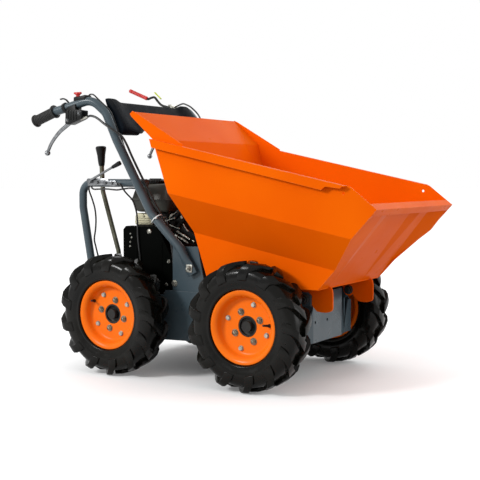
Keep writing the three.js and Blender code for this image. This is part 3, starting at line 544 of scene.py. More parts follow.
def softened(name, finish, slotName, edge=0.8, fold=0.0, holes=(), segments=2, body=chassisBody):
    # The CAD node's own shape with its edges broken by edge, its shallow folds by fold, and holes drilled.
    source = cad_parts[name]
    bm = bmesh.new()
    bm.from_mesh(source.data)
    bm.transform(source.matrix_world)
    bmesh.ops.remove_doubles(bm, verts=bm.verts, dist=forming["weld"] * mm)
    flat = math.radians(forming["flat"])
    bmesh.ops.dissolve_limit(bm, angle_limit=flat, verts=bm.verts, edges=bm.edges)
    bmesh.ops.recalc_face_normals(bm, faces=bm.faces)
    if holes:
        shape = newPiece(name + "_blank", bm, finish, body=body)
        for centre, axis, radius, depth in holes:
            drill = bmesh.new()
            turned(drill, [(-depth, 0), (-depth, radius), (depth, radius), (depth, 0)], centre, axis, 24)
            cutter = newPiece(name + "_drill", drill, finish, body=body)
            cut = shape.modifiers.new("drill", "BOOLEAN")
            cut.operation = "DIFFERENCE"
            cut.solver = "EXACT"
            cut.object = cutter
            bpy.context.view_layer.update()
            baked(shape)
            bpy.data.objects.remove(cutter)
        bm = bmesh.new()
        bm.from_mesh(shape.data)
        bpy.data.objects.remove(shape)
        flat = math.radians(forming["flatDrilled"])
        bmesh.ops.dissolve_limit(bm, angle_limit=flat, verts=bm.verts, edges=bm.edges)
    weights = bm.edges.layers.float.new("bevel_weight_edge")
    widest = max(edge, fold)
    for line in bm.edges:
        turn = math.degrees(line.calc_face_angle(0))
        if turn > forming["corner"] or (not fold and turn > forming["edge"]):
            line[weights] = edge / widest
        elif fold and turn > forming["fold"]:
            line[weights] = fold / widest
    piece = newPiece(name + "_formed", bm, finish, (name,), forming["smooth"], body)
    rounding = piece.modifiers.new("rounding", "BEVEL")
    rounding.limit_method = "WEIGHT"
    rounding.width = widest * mm
    rounding.segments = segments
    rounding.use_clamp_overlap = True
    even = piece.modifiers.new("even", "WEIGHTED_NORMAL")
    even.keep_sharp = True


def mirrored(points, outward):
    return [(x, outward * abs(y), z) for x, y, z in points]


tyre = {
    "lugs": 13, "lugEdge": 0.9,
    "bead": [(-31, 99.5), (-33, 104), (-33.4, 112), (-34.6, 116.3), (-38.6, 117.8), (-42.6, 119.4),
             (-44.6, 122.2)],
    "wall": [(-44.2, 126), (-45.2, 131), (-47.6, 140), (-48.8, 150), (-48.4, 162), (-46, 172.5)],
    "crown": [(-41, 180.5), (-33, 186), (-20, 189.6), (0, 190.8)],
    "inside": [(29, 101), (38, 130), (38, 165), (25, 180), (0, 182)],
    "lugBase": [(-6, 189), (12, 188.4), (26, 186.4), (36, 182), (42, 175), (45, 166), (45.6, 156),
                (45.6, 145)],
    "lugTop": [(-6, 204), (12, 203.9), (29, 203.2), (43, 200.6), (50.4, 193), (52.6, 181), (52.9, 166),
               (52.2, 150)],
    "lugSweep": [0, 3.4, 7.2, 11.0, 14.4, 16.8, 18.2, 19.0],
    "lugFoot": [17, 16.2, 15.2, 14.8, 15.2, 16.2, 17.2, 17.6],
    "lugFace": [14.8, 13.8, 12.8, 12.6, 13.4, 14.6, 15.8, 16.2],
}
rim = {
    "profile": [
        (38, 113.6), (37.4, 115.4), (36, 116), (34.6, 115.2), (33.9, 112), (33.5, 105), (29.5, 100.4),
        (14, 98.6), (-14, 98.6), (-29.5, 100.4), (-33.5, 105), (-33.9, 112), (-34.6, 115.2), (-36, 116),
        (-37.4, 115.4), (-38, 113.6), (-37.4, 108), (-34.6, 101.2), (-29, 96.8), (-14, 95.2), (-6, 94.6),
        (-1.5, 91.5), (1.2, 86.5), (2, 80), (2, 34.4), (2.8, 33.2), (5.2, 33.2), (6, 34.2), (6, 80),
        (7.2, 86), (10.6, 90.8), (16, 93.4), (26, 95.6), (31.5, 99), (35, 104), (37.4, 109.6),
    ],
    "hub": [(-30, 0), (-30, 26), (-2, 27), (-1.5, 32.4), (4.4, 32.6), (5.4, 31.4), (5.4, 28.4), (-4, 27.4),
            (-5.5, 25), (-5.5, 18), (-5.5, 0)],
    "disc": 6, "firstNut": {"front": 27, "rear": 75},
    # Nuts and bolts give the width across flats, the height and the washer's radius.
    "nutCircle": 50, "nut": (16.5, 5.5, 11.5), "nutDome": (6.6, 4.1),
    "boltCircle": 73, "bolt": (13.5, 4.6, 8.6),
    "valve": [(0, 0), (0, 6.2), (2.5, 6), (5, 4.2), (17, 3.7), (18, 3), (18, 2.4), (20, 2.4), (20, 3.4),
              (27, 3.4), (28, 2.6), (28, 0)],
    "valvePlace": {"front": (80, 6), "rear": (88, 153)},
}


def lugMesh():
    # One tread lug on the side y > 0, at angle 0, round the Y axis through the origin.
    bm = bmesh.new()
    rings = []
    rows = zip(tyre["lugBase"], tyre["lugTop"], tyre["lugSweep"], tyre["lugFoot"], tyre["lugFace"])
    for (baseY, baseR), (topY, topR), turn, foot, face in rows:
        ring = []
        corners = [(baseY, baseR, -foot), (topY, topR, -face), (topY, topR, face), (baseY, baseR, foot)]
        for y, r, half in corners:
            angle = math.radians(turn) + half / r
            ring.append(bm.verts.new((r * math.cos(angle) * mm, y * mm, r * math.sin(angle) * mm)))
        rings.append(ring)
    joinAll(bm, rings)
    bmesh.ops.recalc_face_normals(bm, faces=bm.faces)
    soften(bm, math.radians(40), tyre["lugEdge"], profile=0.6)
    return bm


def addTyre(name, body, centre):
    bm = bmesh.new()
    half = tyre["bead"] + tyre["wall"] + tyre["crown"]
    knots = [Vector((u, r, 0)) for u, r in half + [(-u, r) for u, r in reversed(half[:-1])]]
    curve = [(p.x, p.y) for p in throughPoints(knots, 3)]
    inside = tyre["inside"] + [(-u, r) for u, r in reversed(tyre["inside"][:-1])]
    turned(bm, curve + inside, centre, leftward, 112, loop=True)
    pitch = 2 * math.pi / tyre["lugs"]
    for i in range(tyre["lugs"]):
        for side in (1, -1):
            part = lugMesh()
            if side < 0:
                part.transform(Matrix.Diagonal((1, -1, 1, 1)))
            turn = Matrix.Rotation(-pitch * (i + (0.5 if side < 0 else 0)), 4, "Y")
            merge(bm, part, Matrix.Translation(centre) @ turn)
    newPiece(name + "_tread", bm, "tyreRubber", (name,), 34, body)


def onWheel(centre, outward, radius, degrees):
    # A point of the wheel's disc; the angle is seen from the machine's right side.
    angle = math.radians(degrees)
    spot = Vector((radius * math.cos(angle), outward * rim["disc"], radius * math.sin(angle)))
    return centre + spot * mm


def addWheel(end, side):
    outward = sides[side]
    body = f"{side}_{end}_wheel"
    name = f"{end}_{side}"
    centre = at(wheelBase if end == "front" else 0, outward * wheelY, wheelZ)
    out = Vector((0, outward, 0))
    addTyre("tyre_" + name, body, centre)
    bm = bmesh.new()
    turned(bm, rim["profile"], centre, out, 96, loop=True)
    newPiece(f"wheel_{name}_rim", bm, "rimPaintLightened", ("wheel_" + name,), 32, body)
    bm = bmesh.new()
    turned(bm, rim["hub"], centre, out, 48)
    newPiece(f"wheel_{name}_hub", bm, "axlePaint", body=body)
    nuts = bmesh.new()
    bolts = bmesh.new()
    for i in range(4):
        angle = rim["firstNut"][end] + 90 * i
        spot = onWheel(centre, outward, rim["nutCircle"], angle)
        hexHead(nuts, spot, out, *rim["nut"], 0.3 * i)
        domeHead(nuts, spot + out * 6.9 * mm, out, *rim["nutDome"])
        spot = onWheel(centre, outward, rim["boltCircle"], angle + 45)
        hexHead(bolts, spot, out, *rim["bolt"], 0.5 * i)
    newPiece(f"wheel_{name}_nuts", nuts, "darkNut", body=body)
    newPiece(f"wheel_{name}_bolts", bolts, "zincPlate", body=body)
    stem = bmesh.new()
    radius, angle = rim["valvePlace"][end]
    lean = Vector((math.cos(math.radians(angle)) * -0.35, outward, 0.12))
    turned(stem, rim["valve"], onWheel(centre, outward, radius, angle), lean, 20)
    newPiece(f"wheel_{name}_valve", stem, "gripRubber", body=body)


for end in ("front", "rear"):
    for side in sides:
        addWheel(end, side)
print("wheels made")

skip = {
    "edge": 0.9, "fold": 5.0, "lipHole": (864, 313, 619), "lipHoleRadius": 4.5, "bracketEdge": 1.0,
    "welds": [
        [(346, 225.4, 326), (290, 225.4, 486), (246, 310, 615), (187, 310, 786)],
        [(346, 225.6, 326.4), (734, 225.6, 326.4)],
    ],
    "weldPitch": 2.4, "weldRadius": 2.6, "weldRipple": 0.5,
    "spots": 7, "spotPitch": 29, "spotPlace": (756.48, 176, 346),
    "spotRise": 0.77, "spotLean": (0.792, 0, -0.61),
    "spot": [(-1, 0), (-1, 4.6), (0.3, 4.4), (0.7, 3.2), (0.4, 2), (0.4, 0)],
}
for side, outward in sides.items():
    x, y, z = skip["lipHole"]
    holes = [((x, outward * y, z), leftward, skip["lipHoleRadius"], 30)]
    softened(f"skip_side_{side}", "skipPaint", "skip_paint", skip["edge"], skip["fold"], holes, 3, skipBody)
    softened(f"skip_bracket_{side}", "skipPaint", "skip_paint", skip["bracketEdge"], body=skipBody)
for name in ("skip_back", "skip_floor", "skip_front"):
    softened(name, "skipPaint", "skip_paint", skip["edge"], skip["fold"], segments=3, body=skipBody)


def addSkipWelds():
    # Ripples of weld metal in the skip's inner corners.
    bm = bmesh.new()
    for outward in sides.values():
        for line in skip["welds"]:
            points = [at(*p) for p in mirrored(line, outward)]
            for start, end in zip(points, points[1:]):
                count = max(int((end - start).length / (skip["weldPitch"] * mm)), 2)
                path = [start.lerp(end, i / count) for i in range(count + 1)]
                sizes = [skip["weldRadius"] + skip["weldRipple"] * (i % 2) for i in range(count + 1)]
                sweep(bm, path, sizes, 8, (0.3, 1, 0.4))
    newPiece("skip_welds", bm, "skipPaint", body=skipBody)
    bm = bmesh.new()
    x, y, z = skip["spotPlace"]
    for outward in sides.values():
        for i in range(skip["spots"]):
            up = skip["spotPitch"] * i
            spot = at(x + skip["spotRise"] * up, outward * y, z + up)
            turned(bm, skip["spot"], spot, skip["spotLean"], 20)
    newPiece("skip_spot_welds", bm, "skipPaint", body=skipBody)


addSkipWelds()
print("skip made")

chassis = {
    "edge": 0.9, "plateFold": 4.0, "axleEdge": 1.2, "plateHoles": [(659, -90, 199), (659, -4, 199)],
    "foot": (261, 224.2, 365), "footPlate": [(248, 353), (272, 352), (274, 377), (250, 378)],
    "spacer": [(0, 0), (0, 9), (12.2, 9), (12.2, 0)], "stud": [(0, 0), (0, 4), (8, 4), (9, 3), (9, 0)],
    "upstandBolt": (188, 205.4, 310), "sideBolts": [(-150, 235), (-60, 235), (60, 235), (560, 235)],
    "footHead": (15, 6, 10.5), "upstandHead": (15, 6, 11.5), "sideHead": (11, 4.5, 8), "pivotHead": (17, 5),
    "pivot": (664, 283), "pivotFaces": [(170.5, 1), (149.8, -1)],
    "pivotCap": [(0, 13.2), (0, 15.4), (1.8, 15.8), (2.6, 14.4), (9.4, 14.2), (10.6, 13), (10.6, 0)],
}
plates = ("chassis_side_right", "chassis_side_left", "engine_deck", "skip_deck", "upstands", "pivot_lugs")
for name in plates:
    softened(name, "framePaint", "frame_paint", chassis["edge"])
plateHoles = [(place, forward, 5, 9) for place in chassis["plateHoles"]]
frontLook = (chassis["edge"], chassis["plateFold"], plateHoles, 3)
softened("chassis_front_plate", "framePaint", "frame_paint", *frontLook)
for name in ("axle_front", "axle_rear"):
    softened(name, "axlePaint", "dark_paint", chassis["axleEdge"])


def addChassisBolts():
    bm = bmesh.new()
    footX, footY, footZ = chassis["foot"]
    for outward in sides.values():
        out = Vector((0, outward, 0))
        spot = at(footX, outward * footY, footZ)
        facing(bm, chassis["footPlate"], outward, 224, 227)
        turned(bm, chassis["spacer"], spot - out * 19 * mm, out, 24)
        hexHead(bm, spot + out * 2.6 * mm, out, *chassis["footHead"], 0.4)
        turned(bm, chassis["stud"], spot + out * 8 * mm, out, 16)
        x, y, z = chassis["upstandBolt"]
        hexHead(bm, (x, outward * y, z), out, *chassis["upstandHead"], 0.1)
        for x, z in chassis["sideBolts"]:
            hexHead(bm, (x, outward * 210, z), out, *chassis["sideHead"], 0.2 * x)
    newPiece("chassis_bolts", bm, "zincPlate")


def addPivotBolts():
    # A black cap and a bolt head on both faces of each bracket.
    bm = bmesh.new()
    x, z = chassis["pivot"]
    for outward in sides.values():
        for start, way in chassis["pivotFaces"]:
            out = (0, outward * way, 0)
            turned(bm, chassis["pivotCap"], (x, outward * start, z), out, 36)
            hexHead(bm, (x, outward * (start + way * 10.3), z), out, *chassis["pivotHead"], roll=0.35)
    newPiece("skip_pivot_bolts", bm, "axlePaint", body=skipBody)


addChassisBolts()
addPivotBolts()
print("chassis made")

bar = {
    "radius": 15, "bend": 60,
    "points": [(271, 220.7, 345), (225, 220.7, 427), (104, 220.7, 543), (62, 222.7, 618), (-10, 262, 792),
               (-50, 268, 884), (-100, 280, 931), (-256, 297, 893), (-342, 297, 864)],
    "footThick": 3.6, "footWide": 19, "footEdge": 0.8,
    # Distance from the bar's lower end, and how far it is round there.
    "foot": [(0, 0), (1.5, 0), (18, 0), (34, 0.1), (50, 0.6), (70, 1)],
}
hoop = {
    "radius": 14, "bend": 42, "collar": [(0, 14), (0, 20), (2.5, 19), (5, 15.5), (6, 14)],
    "points": [(-167, 190.7, 264.3), (-222, 190.7, 560), (-222, 190.7, 646), (62, 190.7, 646)],
}
grip = {
    "start": (-342, 297, 864), "lean": (0.9476, 0, 0.3195), "ribs": 12, "ribPitch": 6.6,
    "inner": [(-4, 0), (-4, 18), (-3, 21.5), (-1, 22.4), (2.5, 22.4), (4, 21), (5, 18.8)],
    "rib": [(8, 17.2), (8.9, 18.5), (12.4, 18.5), (13.3, 17.2)],
    "outer": [(88, 18.4), (89.5, 22.6), (91, 23.4), (95, 23.4), (96, 22.4), (96, 15.2)],
}


def withRibs(inner, rib, outer, count, pitch):
    # A profile with its rib repeated along the axis.
    repeated = [(along + i * pitch, radius) for i in range(count) for along, radius in rib]
    return inner + repeated + outer


def addBars(side, outward):
    path = bentPath(mirrored(bar["points"], outward), bar["bend"])
    # The foot is pressed flat over its last stretch.
    foot = path[0]
    run = (path[1] - foot).normalized()
    whole, sizes = [], []
    for distance, share in bar["foot"]:
        whole.append(foot + run * distance * mm)
        trim = 0 if distance else bar["footEdge"]
        pressed = [bar[key] + (bar["radius"] - bar[key]) * share - trim for key in ("footThick", "footWide")]
        sizes.append(tuple(pressed))
    whole += path[1:]
    sizes += [bar["radius"]] * (len(path) - 1)
    bm = bmesh.new()
    sweep(bm, whole, sizes, 28)
    newPiece(f"handlebar_{side}_tube", bm, "framePaint", (f"handlebar_{side}",))
    bm = bmesh.new()
    path = bentPath(mirrored(hoop["points"], outward), hoop["bend"])
    tube(bm, path, hoop["radius"], 28)
    turned(bm, hoop["collar"], path[0], path[1] - path[0], 32, loop=True)
    newPiece(f"rear_hoop_{side}_tube", bm, "framePaint", (f"rear_hoop_{side}",))


def addGrip(side, outward):
    # Rings run round the grip between its two flanges.
    profile = withRibs(grip["inner"], grip["rib"], grip["outer"], grip["ribs"], grip["ribPitch"])
    bm = bmesh.new()
    turned(bm, profile, mirrored([grip["start"]], outward)[0], grip["lean"], 40)
    newPiece(f"grip_{side}_sleeve", bm, "gripRubber", (f"grip_{side}",), 50)


for side, outward in sides.items():
    addBars(side, outward)
    addGrip(side, outward)
print("bars made")

console = {
    "tube": [(-71, -262, 914), (-71, 262, 914)], "tubeRadius": 12, "half": 244, "steps": 72, "around": 32,
    "top": (-72, 936), "foot": (-1, 812), "footRise": 40, "lobe": (105, 50),
    "dip": 10, "dipEnd": (160, 40), "thick": 8, "thickEnd": 7, "thickFrom": (150, 60), "square": 0.7,
}


def share(value, start, span):
    return min(max((abs(value) - start) / span, 0), 1)


def eased(part):
    return part * part * (3 - 2 * part)


def consoleRing(bm, y):
    # The lower edge has two deep lobes with a raised middle, and the crest dips between the ends.
    (topX, topZ), (footX, footZ) = console["top"], console["foot"]
    low = footZ + console["footRise"] * eased(1 - share(y, *console["lobe"]))
    crest = topZ - console["dip"] * (1 - eased(share(y, *console["dipEnd"])))
    ends = min(1, (1 - abs(y) / console["half"]) * 12 + 0.35) ** 0.5
    top = Vector((topX, crest))
    foot = Vector((topX + (footX - topX) * (topZ - low) / (topZ - footZ), low))
    along = (top - foot).normalized()
    across = Vector((-along.y, along.x))
    length = (top - foot).length / 2 * (0.94 + 0.06 * ends)
    swell = console["thick"] + console["thickEnd"] * share(y, *console["thickFrom"])
    ring = []
    for k in range(console["around"]):
        angle = 2 * math.pi * k / console["around"]
        c, s = math.cos(angle), math.sin(angle)
        a = math.copysign(abs(c) ** console["square"], c) * length
        b = math.copysign(abs(s) ** console["square"], s) * swell * ends * (1.15 - 0.35 * c)
        spot = (top + foot) / 2 + along * a + across * b
        ring.append(bm.verts.new(at(spot.x, y, spot.y)))
    return ring


def addConsole():
    bm = bmesh.new()
    steps = console["steps"]
    joinAll(bm, [consoleRing(bm, console["half"] * (2 * i / steps - 1)) for i in range(steps + 1)])
    newPiece("console_shell", bm, "shellPlastic", ("console",), 60)
    bm = bmesh.new()
    tube(bm, [at(*p) for p in console["tube"]], console["tubeRadius"], 24)
    newPiece("console_tube", bm, "framePaint")


addConsole()
print("console made")

driveLever = {
    "housing": [(-203, 850), (-186, 846), (-128, 866), (-126, 894), (-155, 898), (-155, 916), (-200, 905)],
    "bars": (-188, -176, -164, -152), "screws": [(-190, 862), (-138, 884)], "head": (9, 3, 6.4),
    "blade": [(-188, 287, 858), (-212, 289, 842), (-240, 292, 822), (-272, 296, 786), (-289, 297, 756)],
    "bladeHalf": (4, 8.5), "bladeTaper": (1.5, -3), "ball": (-291, 297, 751), "ballRadius": 10,
    "adjuster": [(-142, 292, 864.5), (-111, 292, 872)],
    "barrel": [(0, 0), (0, 4.2), (3, 5.5)], "knurls": 4, "knurlPitch": 2.4,
    "knurl": [(5, 5.5), (5.6, 4.9), (6.4, 4.9), (7.0, 5.5)],
}


def addDriveLever(side, outward):
    bm = bmesh.new()
    facing(bm, driveLever["housing"], outward, 270, 305, 3.0, 3)
    near, far = sorted((outward * 303, outward * 307))
    for x in driveLever["bars"]:  # moulded on the outer face
        block(bm, (x - 2, near, 862), (x + 2, far, 896), 0.8)
    newPiece(f"drive_lever_{side}_housing", bm, "blackPlastic")
    bm = bmesh.new()
    path = curved(mirrored(driveLever["blade"], outward), 5)
    (thick, wide), (thicker, wider) = driveLever["bladeHalf"], driveLever["bladeTaper"]
    shares = [i / len(path) for i in range(len(path))]
    sweep(bm, path, [(thick + thicker * part, wide + wider * part) for part in shares])
    r = driveLever["ballRadius"]
    ball = [(r * math.sin(math.radians(a)), r * math.cos(math.radians(a))) for a in range(-90, 91, 10)]
    turned(bm, ball, mirrored([driveLever["ball"]], outward)[0], upward, 32)
    for x, z in driveLever["screws"]:
        hexHead(bm, (x, outward * 305, z), (0, outward, 0), *driveLever["head"], 0.3)
    newPiece(f"drive_lever_{side}_blade", bm, "leverSteel", (f"drive_lever_{side}",))
    bm = bmesh.new()
    start, end = [at(*p) for p in mirrored(driveLever["adjuster"], outward)]
    length = (end - start).length / mm
    stem = [(16, 5.5), (17, 4.4), (length, 4.4), (length, 0)]
    knurls, pitch = driveLever["knurls"], driveLever["knurlPitch"]
    profile = withRibs(driveLever["barrel"], driveLever["knurl"], stem, knurls, pitch)
    turned(bm, profile, start, end - start, 24)
    newPiece(f"drive_lever_{side}_adjuster", bm, "zincPlate")


for side, outward in sides.items():
    addDriveLever(side, outward)

stopSwitch = {
    "case": ([(-172, 915.5), (-118, 928.6), (-118, 946.6), (-150, 942), (-170, 941)], -296.8, -261.8),
    "collar": ([(0, 0), (0, 13), (2, 13), (3, 12), (3, 0)], (-160, -279, 940)),
    "button": ([(0, 0), (0, 7), (8, 7), (9, 10), (13.5, 10.4), (16, 9.6), (17.5, 7), (18, 0)],
               (-160, -284, 940), (-0.03, 0, 1)),
    "wing": ([(-176, 951), (-146, 951), (-146, 958), (-176, 958)], -289, -279),
}


def addStopSwitch():
    bm = bmesh.new()
    slab(bm, *stopSwitch["case"], "y", 3.0, 3)
    turned(bm, *stopSwitch["collar"], upward, 32)
    newPiece("stop_switch_case", bm, "blackPlastic", ("stop_switch",))
    bm = bmesh.new()
    turned(bm, *stopSwitch["button"], 32)
    slab(bm, *stopSwitch["wing"], "y", 2.2, 3)
    newPiece("stop_switch_button", bm, "redPlastic")


thumbLever = {
    "clamp": [(-6, 15.2), (-6, 18), (-5, 19), (5, 19), (6, 18), (6, 15.2)], "place": (-208, -291.8, 904.7),
    "arm": [(-200, -286, 922), (-212, -285, 933), (-226, -284, 938), (-240, -283, 937)],
}


def addThumbLever():
    bm = bmesh.new()
    turned(bm, thumbLever["clamp"], thumbLever["place"], grip["lean"], 40, loop=True)
    path = curved(thumbLever["arm"], 5)
    sweep(bm, path, [(4.5 + 1.5 * math.sin(3 * i / len(path)), 2.6) for i in range(len(path))], 16)
    newPiece("thumb_lever_body", bm, "blackPlastic", ("thumb_lever",))


tipLever = {
    "arm": [(-125, 225, 931), (-150, 225, 938), (-179, 225, 947), (-197, 225, 963), (-212, 225, 978),
            (-228, 225, 977), (-244, 225, 973), (-270, 225, 983.5)],
    "bracket": ((-150, 230, 926), (-112, 268, 938), 1.6), "ear": ((-150, 229, 928), (-112, 233, 948)),
    "pivot": (-125, 220, 931), "head": (11, 4, 7.5), "armRadius": 4.6, "tabHalf": (5.5, 2.2),
    "bush": [(0, 0), (0, 10), (1, 10.6), (8, 10.6), (9, 9.6), (9, 0)],
    "gripRun": [(-246, 225, 974), (-335, 225, 1010)], "rings": 9, "ringPitch": 8,
    "gripStart": [(0, 0), (0, 5.6), (3, 7.4), (8, 7.6)], "ring": [(12, 7.4), (13, 6.7), (15, 6.7), (16, 7.4)],
    "gripEnd": [(88, 7.6), (93, 7.2), (95, 5), (96, 0)],
    "tab": [(-210, 225, 997), (-203, 225, 990), (-192, 225, 981), (-181, 225, 971)],
}


def addTipLever():
    bm = bmesh.new()
    block(bm, *tipLever["bracket"])
    block(bm, *tipLever["ear"])
    turned(bm, tipLever["bush"], tipLever["pivot"], leftward, 32)
    hexHead(bm, tipLever["pivot"], rightward, *tipLever["head"])
    newPiece("tip_lever_bracket", bm, "zincPlate")
    bm = bmesh.new()
    sweep(bm, curved(tipLever["arm"], 6), tipLever["armRadius"], 18)
    newPiece("tip_lever_arm", bm, "blackPlastic")
    bm = bmesh.new()
    start, end = [at(*p) for p in tipLever["gripRun"]]
    rings, pitch = tipLever["rings"], tipLever["ringPitch"]
    profile = withRibs(tipLever["gripStart"], tipLever["ring"], tipLever["gripEnd"], rings, pitch)
    turned(bm, profile, start, end - start, 28)
    newPiece("tip_lever_grip", bm, "redPlastic", ("tip_lever",))
    bm = bmesh.new()
    sweep(bm, curved(tipLever["tab"], 4), tipLever["tabHalf"], 14)
    newPiece("tip_lever_tab", bm, "yellowPlastic")


hoopLever = {
    "plate": [(-186, 636), (-120, 638), (-60, 636), (-60, 654), (-92, 654), (-98, 662), (-150, 662),
              (-186, 660)],
    "plateReach": (-208, -205.2), "screws": [(-140, 648), (-104, 646), (-74, 645)], "head": (9.5, 4, 6.8),
    "stop": ([(0, 0), (0, 5), (15, 5), (15, 0)], (-63, -210.3, 643)), "bossPlace": (-175, -207, 653),
    "boss": [(0, 0), (0, 8), (1, 9), (9, 9), (10, 8), (10, 0)],
    "rod": [(-175, -213, 653), (-66, -213, 702)], "rodRadius": 4,
    "knobRun": [(-70, -213, 700), (-34, -213, 716)],
    "knob": [(0, 0), (0, 5), (2, 6), (20, 7.4), (32, 8.2), (38, 7.6), (40, 4.5), (40.5, 0)],
}


def addHoopLever():
    bm = bmesh.new()
    slab(bm, hoopLever["plate"], *hoopLever["plateReach"], "y", 0.7)
    turned(bm, *hoopLever["stop"], forward, 20)
    for x, z in hoopLever["screws"]:
        hexHead(bm, (x, -208, z), rightward, *hoopLever["head"], x)
    turned(bm, hoopLever["boss"], hoopLever["bossPlace"], rightward, 28)
    tube(bm, [at(*p) for p in hoopLever["rod"]], hoopLever["rodRadius"], 16)
    newPiece("hoop_lever_plate", bm, "leverSteel")
    bm = bmesh.new()
    start, end = [at(*p) for p in hoopLever["knobRun"]]
    turned(bm, hoopLever["knob"], start, end - start, 28)
    newPiece("hoop_lever_knob", bm, "blackPlastic", ("hoop_lever",))


gearLever = {
    "rod": [(-118, -100, 264.5), (-136, -100, 400), (-206, -100, 615), (-211, -100, 712)],
    "radius": 8.5, "bend": 40,
    "knobPlace": (-211, -100, 707), "knobLean": (-0.045, 0, 1),
    "bootPlace": (-118, -100, 264.3), "bootLean": (-0.05, 0, 1),
    "knob": [(0, 0), (0, 9), (1.5, 10.5), (14, 12.5), (40, 14.8), (56, 18), (64, 19.4), (68, 19), (71, 16.5),
             (72.5, 9), (73, 0)],
    "boot": [(0, 0), (0, 24), (1.5, 24), (3, 20), (5, 18.5), (6, 20), (8, 17.5), (9, 19), (11, 16),
             (12, 17.5), (14.5, 13.5), (16, 9), (16, 0)],
}


def addGearLever():
    bm = bmesh.new()
    tube(bm, bentPath(gearLever["rod"], gearLever["bend"]), gearLever["radius"], 24)
    newPiece("gear_lever_rod", bm, "gearRod")
    bm = bmesh.new()
    turned(bm, gearLever["knob"], gearLever["knobPlace"], gearLever["knobLean"], 40)
    newPiece("gear_lever_knob", bm, "blackPlastic", ("gear_lever",))
    bm = bmesh.new()
    turned(bm, gearLever["boot"], gearLever["bootPlace"], gearLever["bootLean"], 40)
    newPiece("gear_lever_boot", bm, "gripRubber")


addStopSwitch()
addThumbLever()
addTipLever()
addHoopLever()
addGearLever()
print("controls made")

cables = {
    "drive_cable_right": (4, [
        (-110.1, -292, 872.2), (-99, -292, 874.5), (-74, -292, 868), (-35, -291, 843), (-6, -285, 824),
        (13, -264, 804), (20, -247, 778), (32, -237, 742), (53, -223, 688), (79, -209, 628), (110, -207, 574),
        (140, -205, 528), (162, -200, 474), (172, -194, 410), (174, -190, 350), (174, -190, 284.3)]),
    "tip_cable": (3, [
        (-114.5, 225, 936), (-98, 224, 942), (-72, 216, 947), (-35, 190, 940), (10, 160, 924), (46, 150, 896),
        (72, 148, 850), (104, 148, 780), (136, 150, 680), (150, 152, 560), (156, 152, 420), (165, 150, 320),
        (165, 150, 283.3)]),
    "hoop_cable_rear": (3, [
        (-182, -206.5, 635.7), (-181, -205.5, 618), (-174, -200, 592), (-166, -194, 556), (-163, -192, 520),
        (-166, -191, 483), (-172, -191, 445), (-165, -191, 418), (-154, -191, 380), (-146, -191, 320),
        (-145, -191, 264.3)]),
    "hoop_cable_middle": (3, [
        (-168, -206.5, 635.4), (-168, -206.5, 629), (-161, -205.5, 624), (-142, -204, 624), (-111, -201, 625),
        (-82, -200, 623), (-59, -199, 622), (-36, -197, 625), (0, -193, 628), (34, -180, 622),
        (50, -165, 600), (57, -158, 566), (58, -156, 547), (61, -144, 530), (62, -126, 522),
        (62, -110.3, 521)]),
    "hoop_cable_front": (3, [
        (-47.4, -210.3, 643), (-40, -210.3, 643), (-32, -209, 634), (-24, -207, 621), (-14, -201, 607),
        (2, -194, 588), (13, -192, 562), (19, -191, 537), (21, -190.5, 500), (22, -190.5, 465),
        (26, -190.5, 427), (31, -190.5, 390), (35, -190.5, 330), (35, -190.5, 264.3)]),
}
cables["drive_cable_left"] = (4, mirrored(cables["drive_cable_right"][1], 1))


for name, (radius, points) in cables.items():
    bm = bmesh.new()
    sweep(bm, curved(points, 7), radius, 16)
    newPiece(name + "_sheath", bm, "cableSheath", (name,))

switchWire = {
    "radius": 2.6,
    "points": [(-119, -276, 944), (-112, -278, 948), (-98, -277, 947), (-80, -274, 932), (-63, -271, 917),
               (-38, -262, 891), (-22, -252, 846), (-4, -244, 798), (7, -238, 762), (30, -224, 702),
               (56, -210.5, 640), (76, -205, 600), (104, -204, 560), (121, -202, 534), (148, -196, 508),
               (162, -184, 490), (164, -166, 480), (158, -146, 474)],
}
bm = bmesh.new()
sweep(bm, curved(switchWire["points"], 7), switchWire["radius"], 12)
newPiece("switch_wire", bm, "cableSheath")

tie = {"place": (124, -216, 525), "run": (-0.69, -0.02, 0.72), "radius": 21, "half": 1.8, "thick": 1.3}


def addTie():
    bm = bmesh.new()
    x, y, z = tie["place"]
    inner, half = tie["radius"], tie["half"]
    outer = inner + tie["thick"]
    band = [(-half, inner), (-half, outer), (half, outer), (half, inner)]
    turned(bm, band, (x, y, z), tie["run"], 40, loop=True)
    block(bm, (x + 8, y - inner - 2, z + 2), (x + 14, y - inner + 5, z + 9))
    tube(bm, [at(x + 12, y - inner - 1, z + 6), at(x + 26, y - inner - 5, z + 15)], 1.5, 8, 0.4)
    newPiece("cable_tie", bm, "whiteNylon")


addTie()
print("cables made")

engine = {
    "fin": (-24, -114, 116, 122), "finFirst": 504, "finPitch": 6.4, "fins": 6, "finThick": 2.2,
    "tank": ((-50, -155), (131, 101)), "tankCorner": 26,
    # Height and inset of each level, with the seam's flange in the middle.
    "tankWall": [(544.3, 31), (545.6, 26), (548.6, 22), (553, 19.6), (570, 12), (585.4, 5.4), (586, 0.6),
                 (586.6, 0), (589.4, 0), (590, 0.6), (590.6, 5.4), (604, 10), (620, 16), (633, 21.4),
                 (638, 24.6), (641.4, 29), (643.2, 36)],
    "cap": (20, -84), "capRadius": 37.4, "capRibs": 28,
    "capTop": [(0, 0), (0, 30), (1.5, 29), (2.5, 26), (2.5, 0)],
}
guard = {
    "face": -186, "screws": [(-13, 470), (-8, 457), (-14, 441), (-15, 426)], "dome": (69, 480),
    "bolts": [(140, 300), (-28, 300), (150, 380)], "head": (9, 3.5, 6.5), "domeHead": (10, 5),
    "ribs": [[(10, 300), (16, 300), (16, 440), (10, 440)], [(118, 296), (123, 296), (123, 446), (118, 446)]],
}
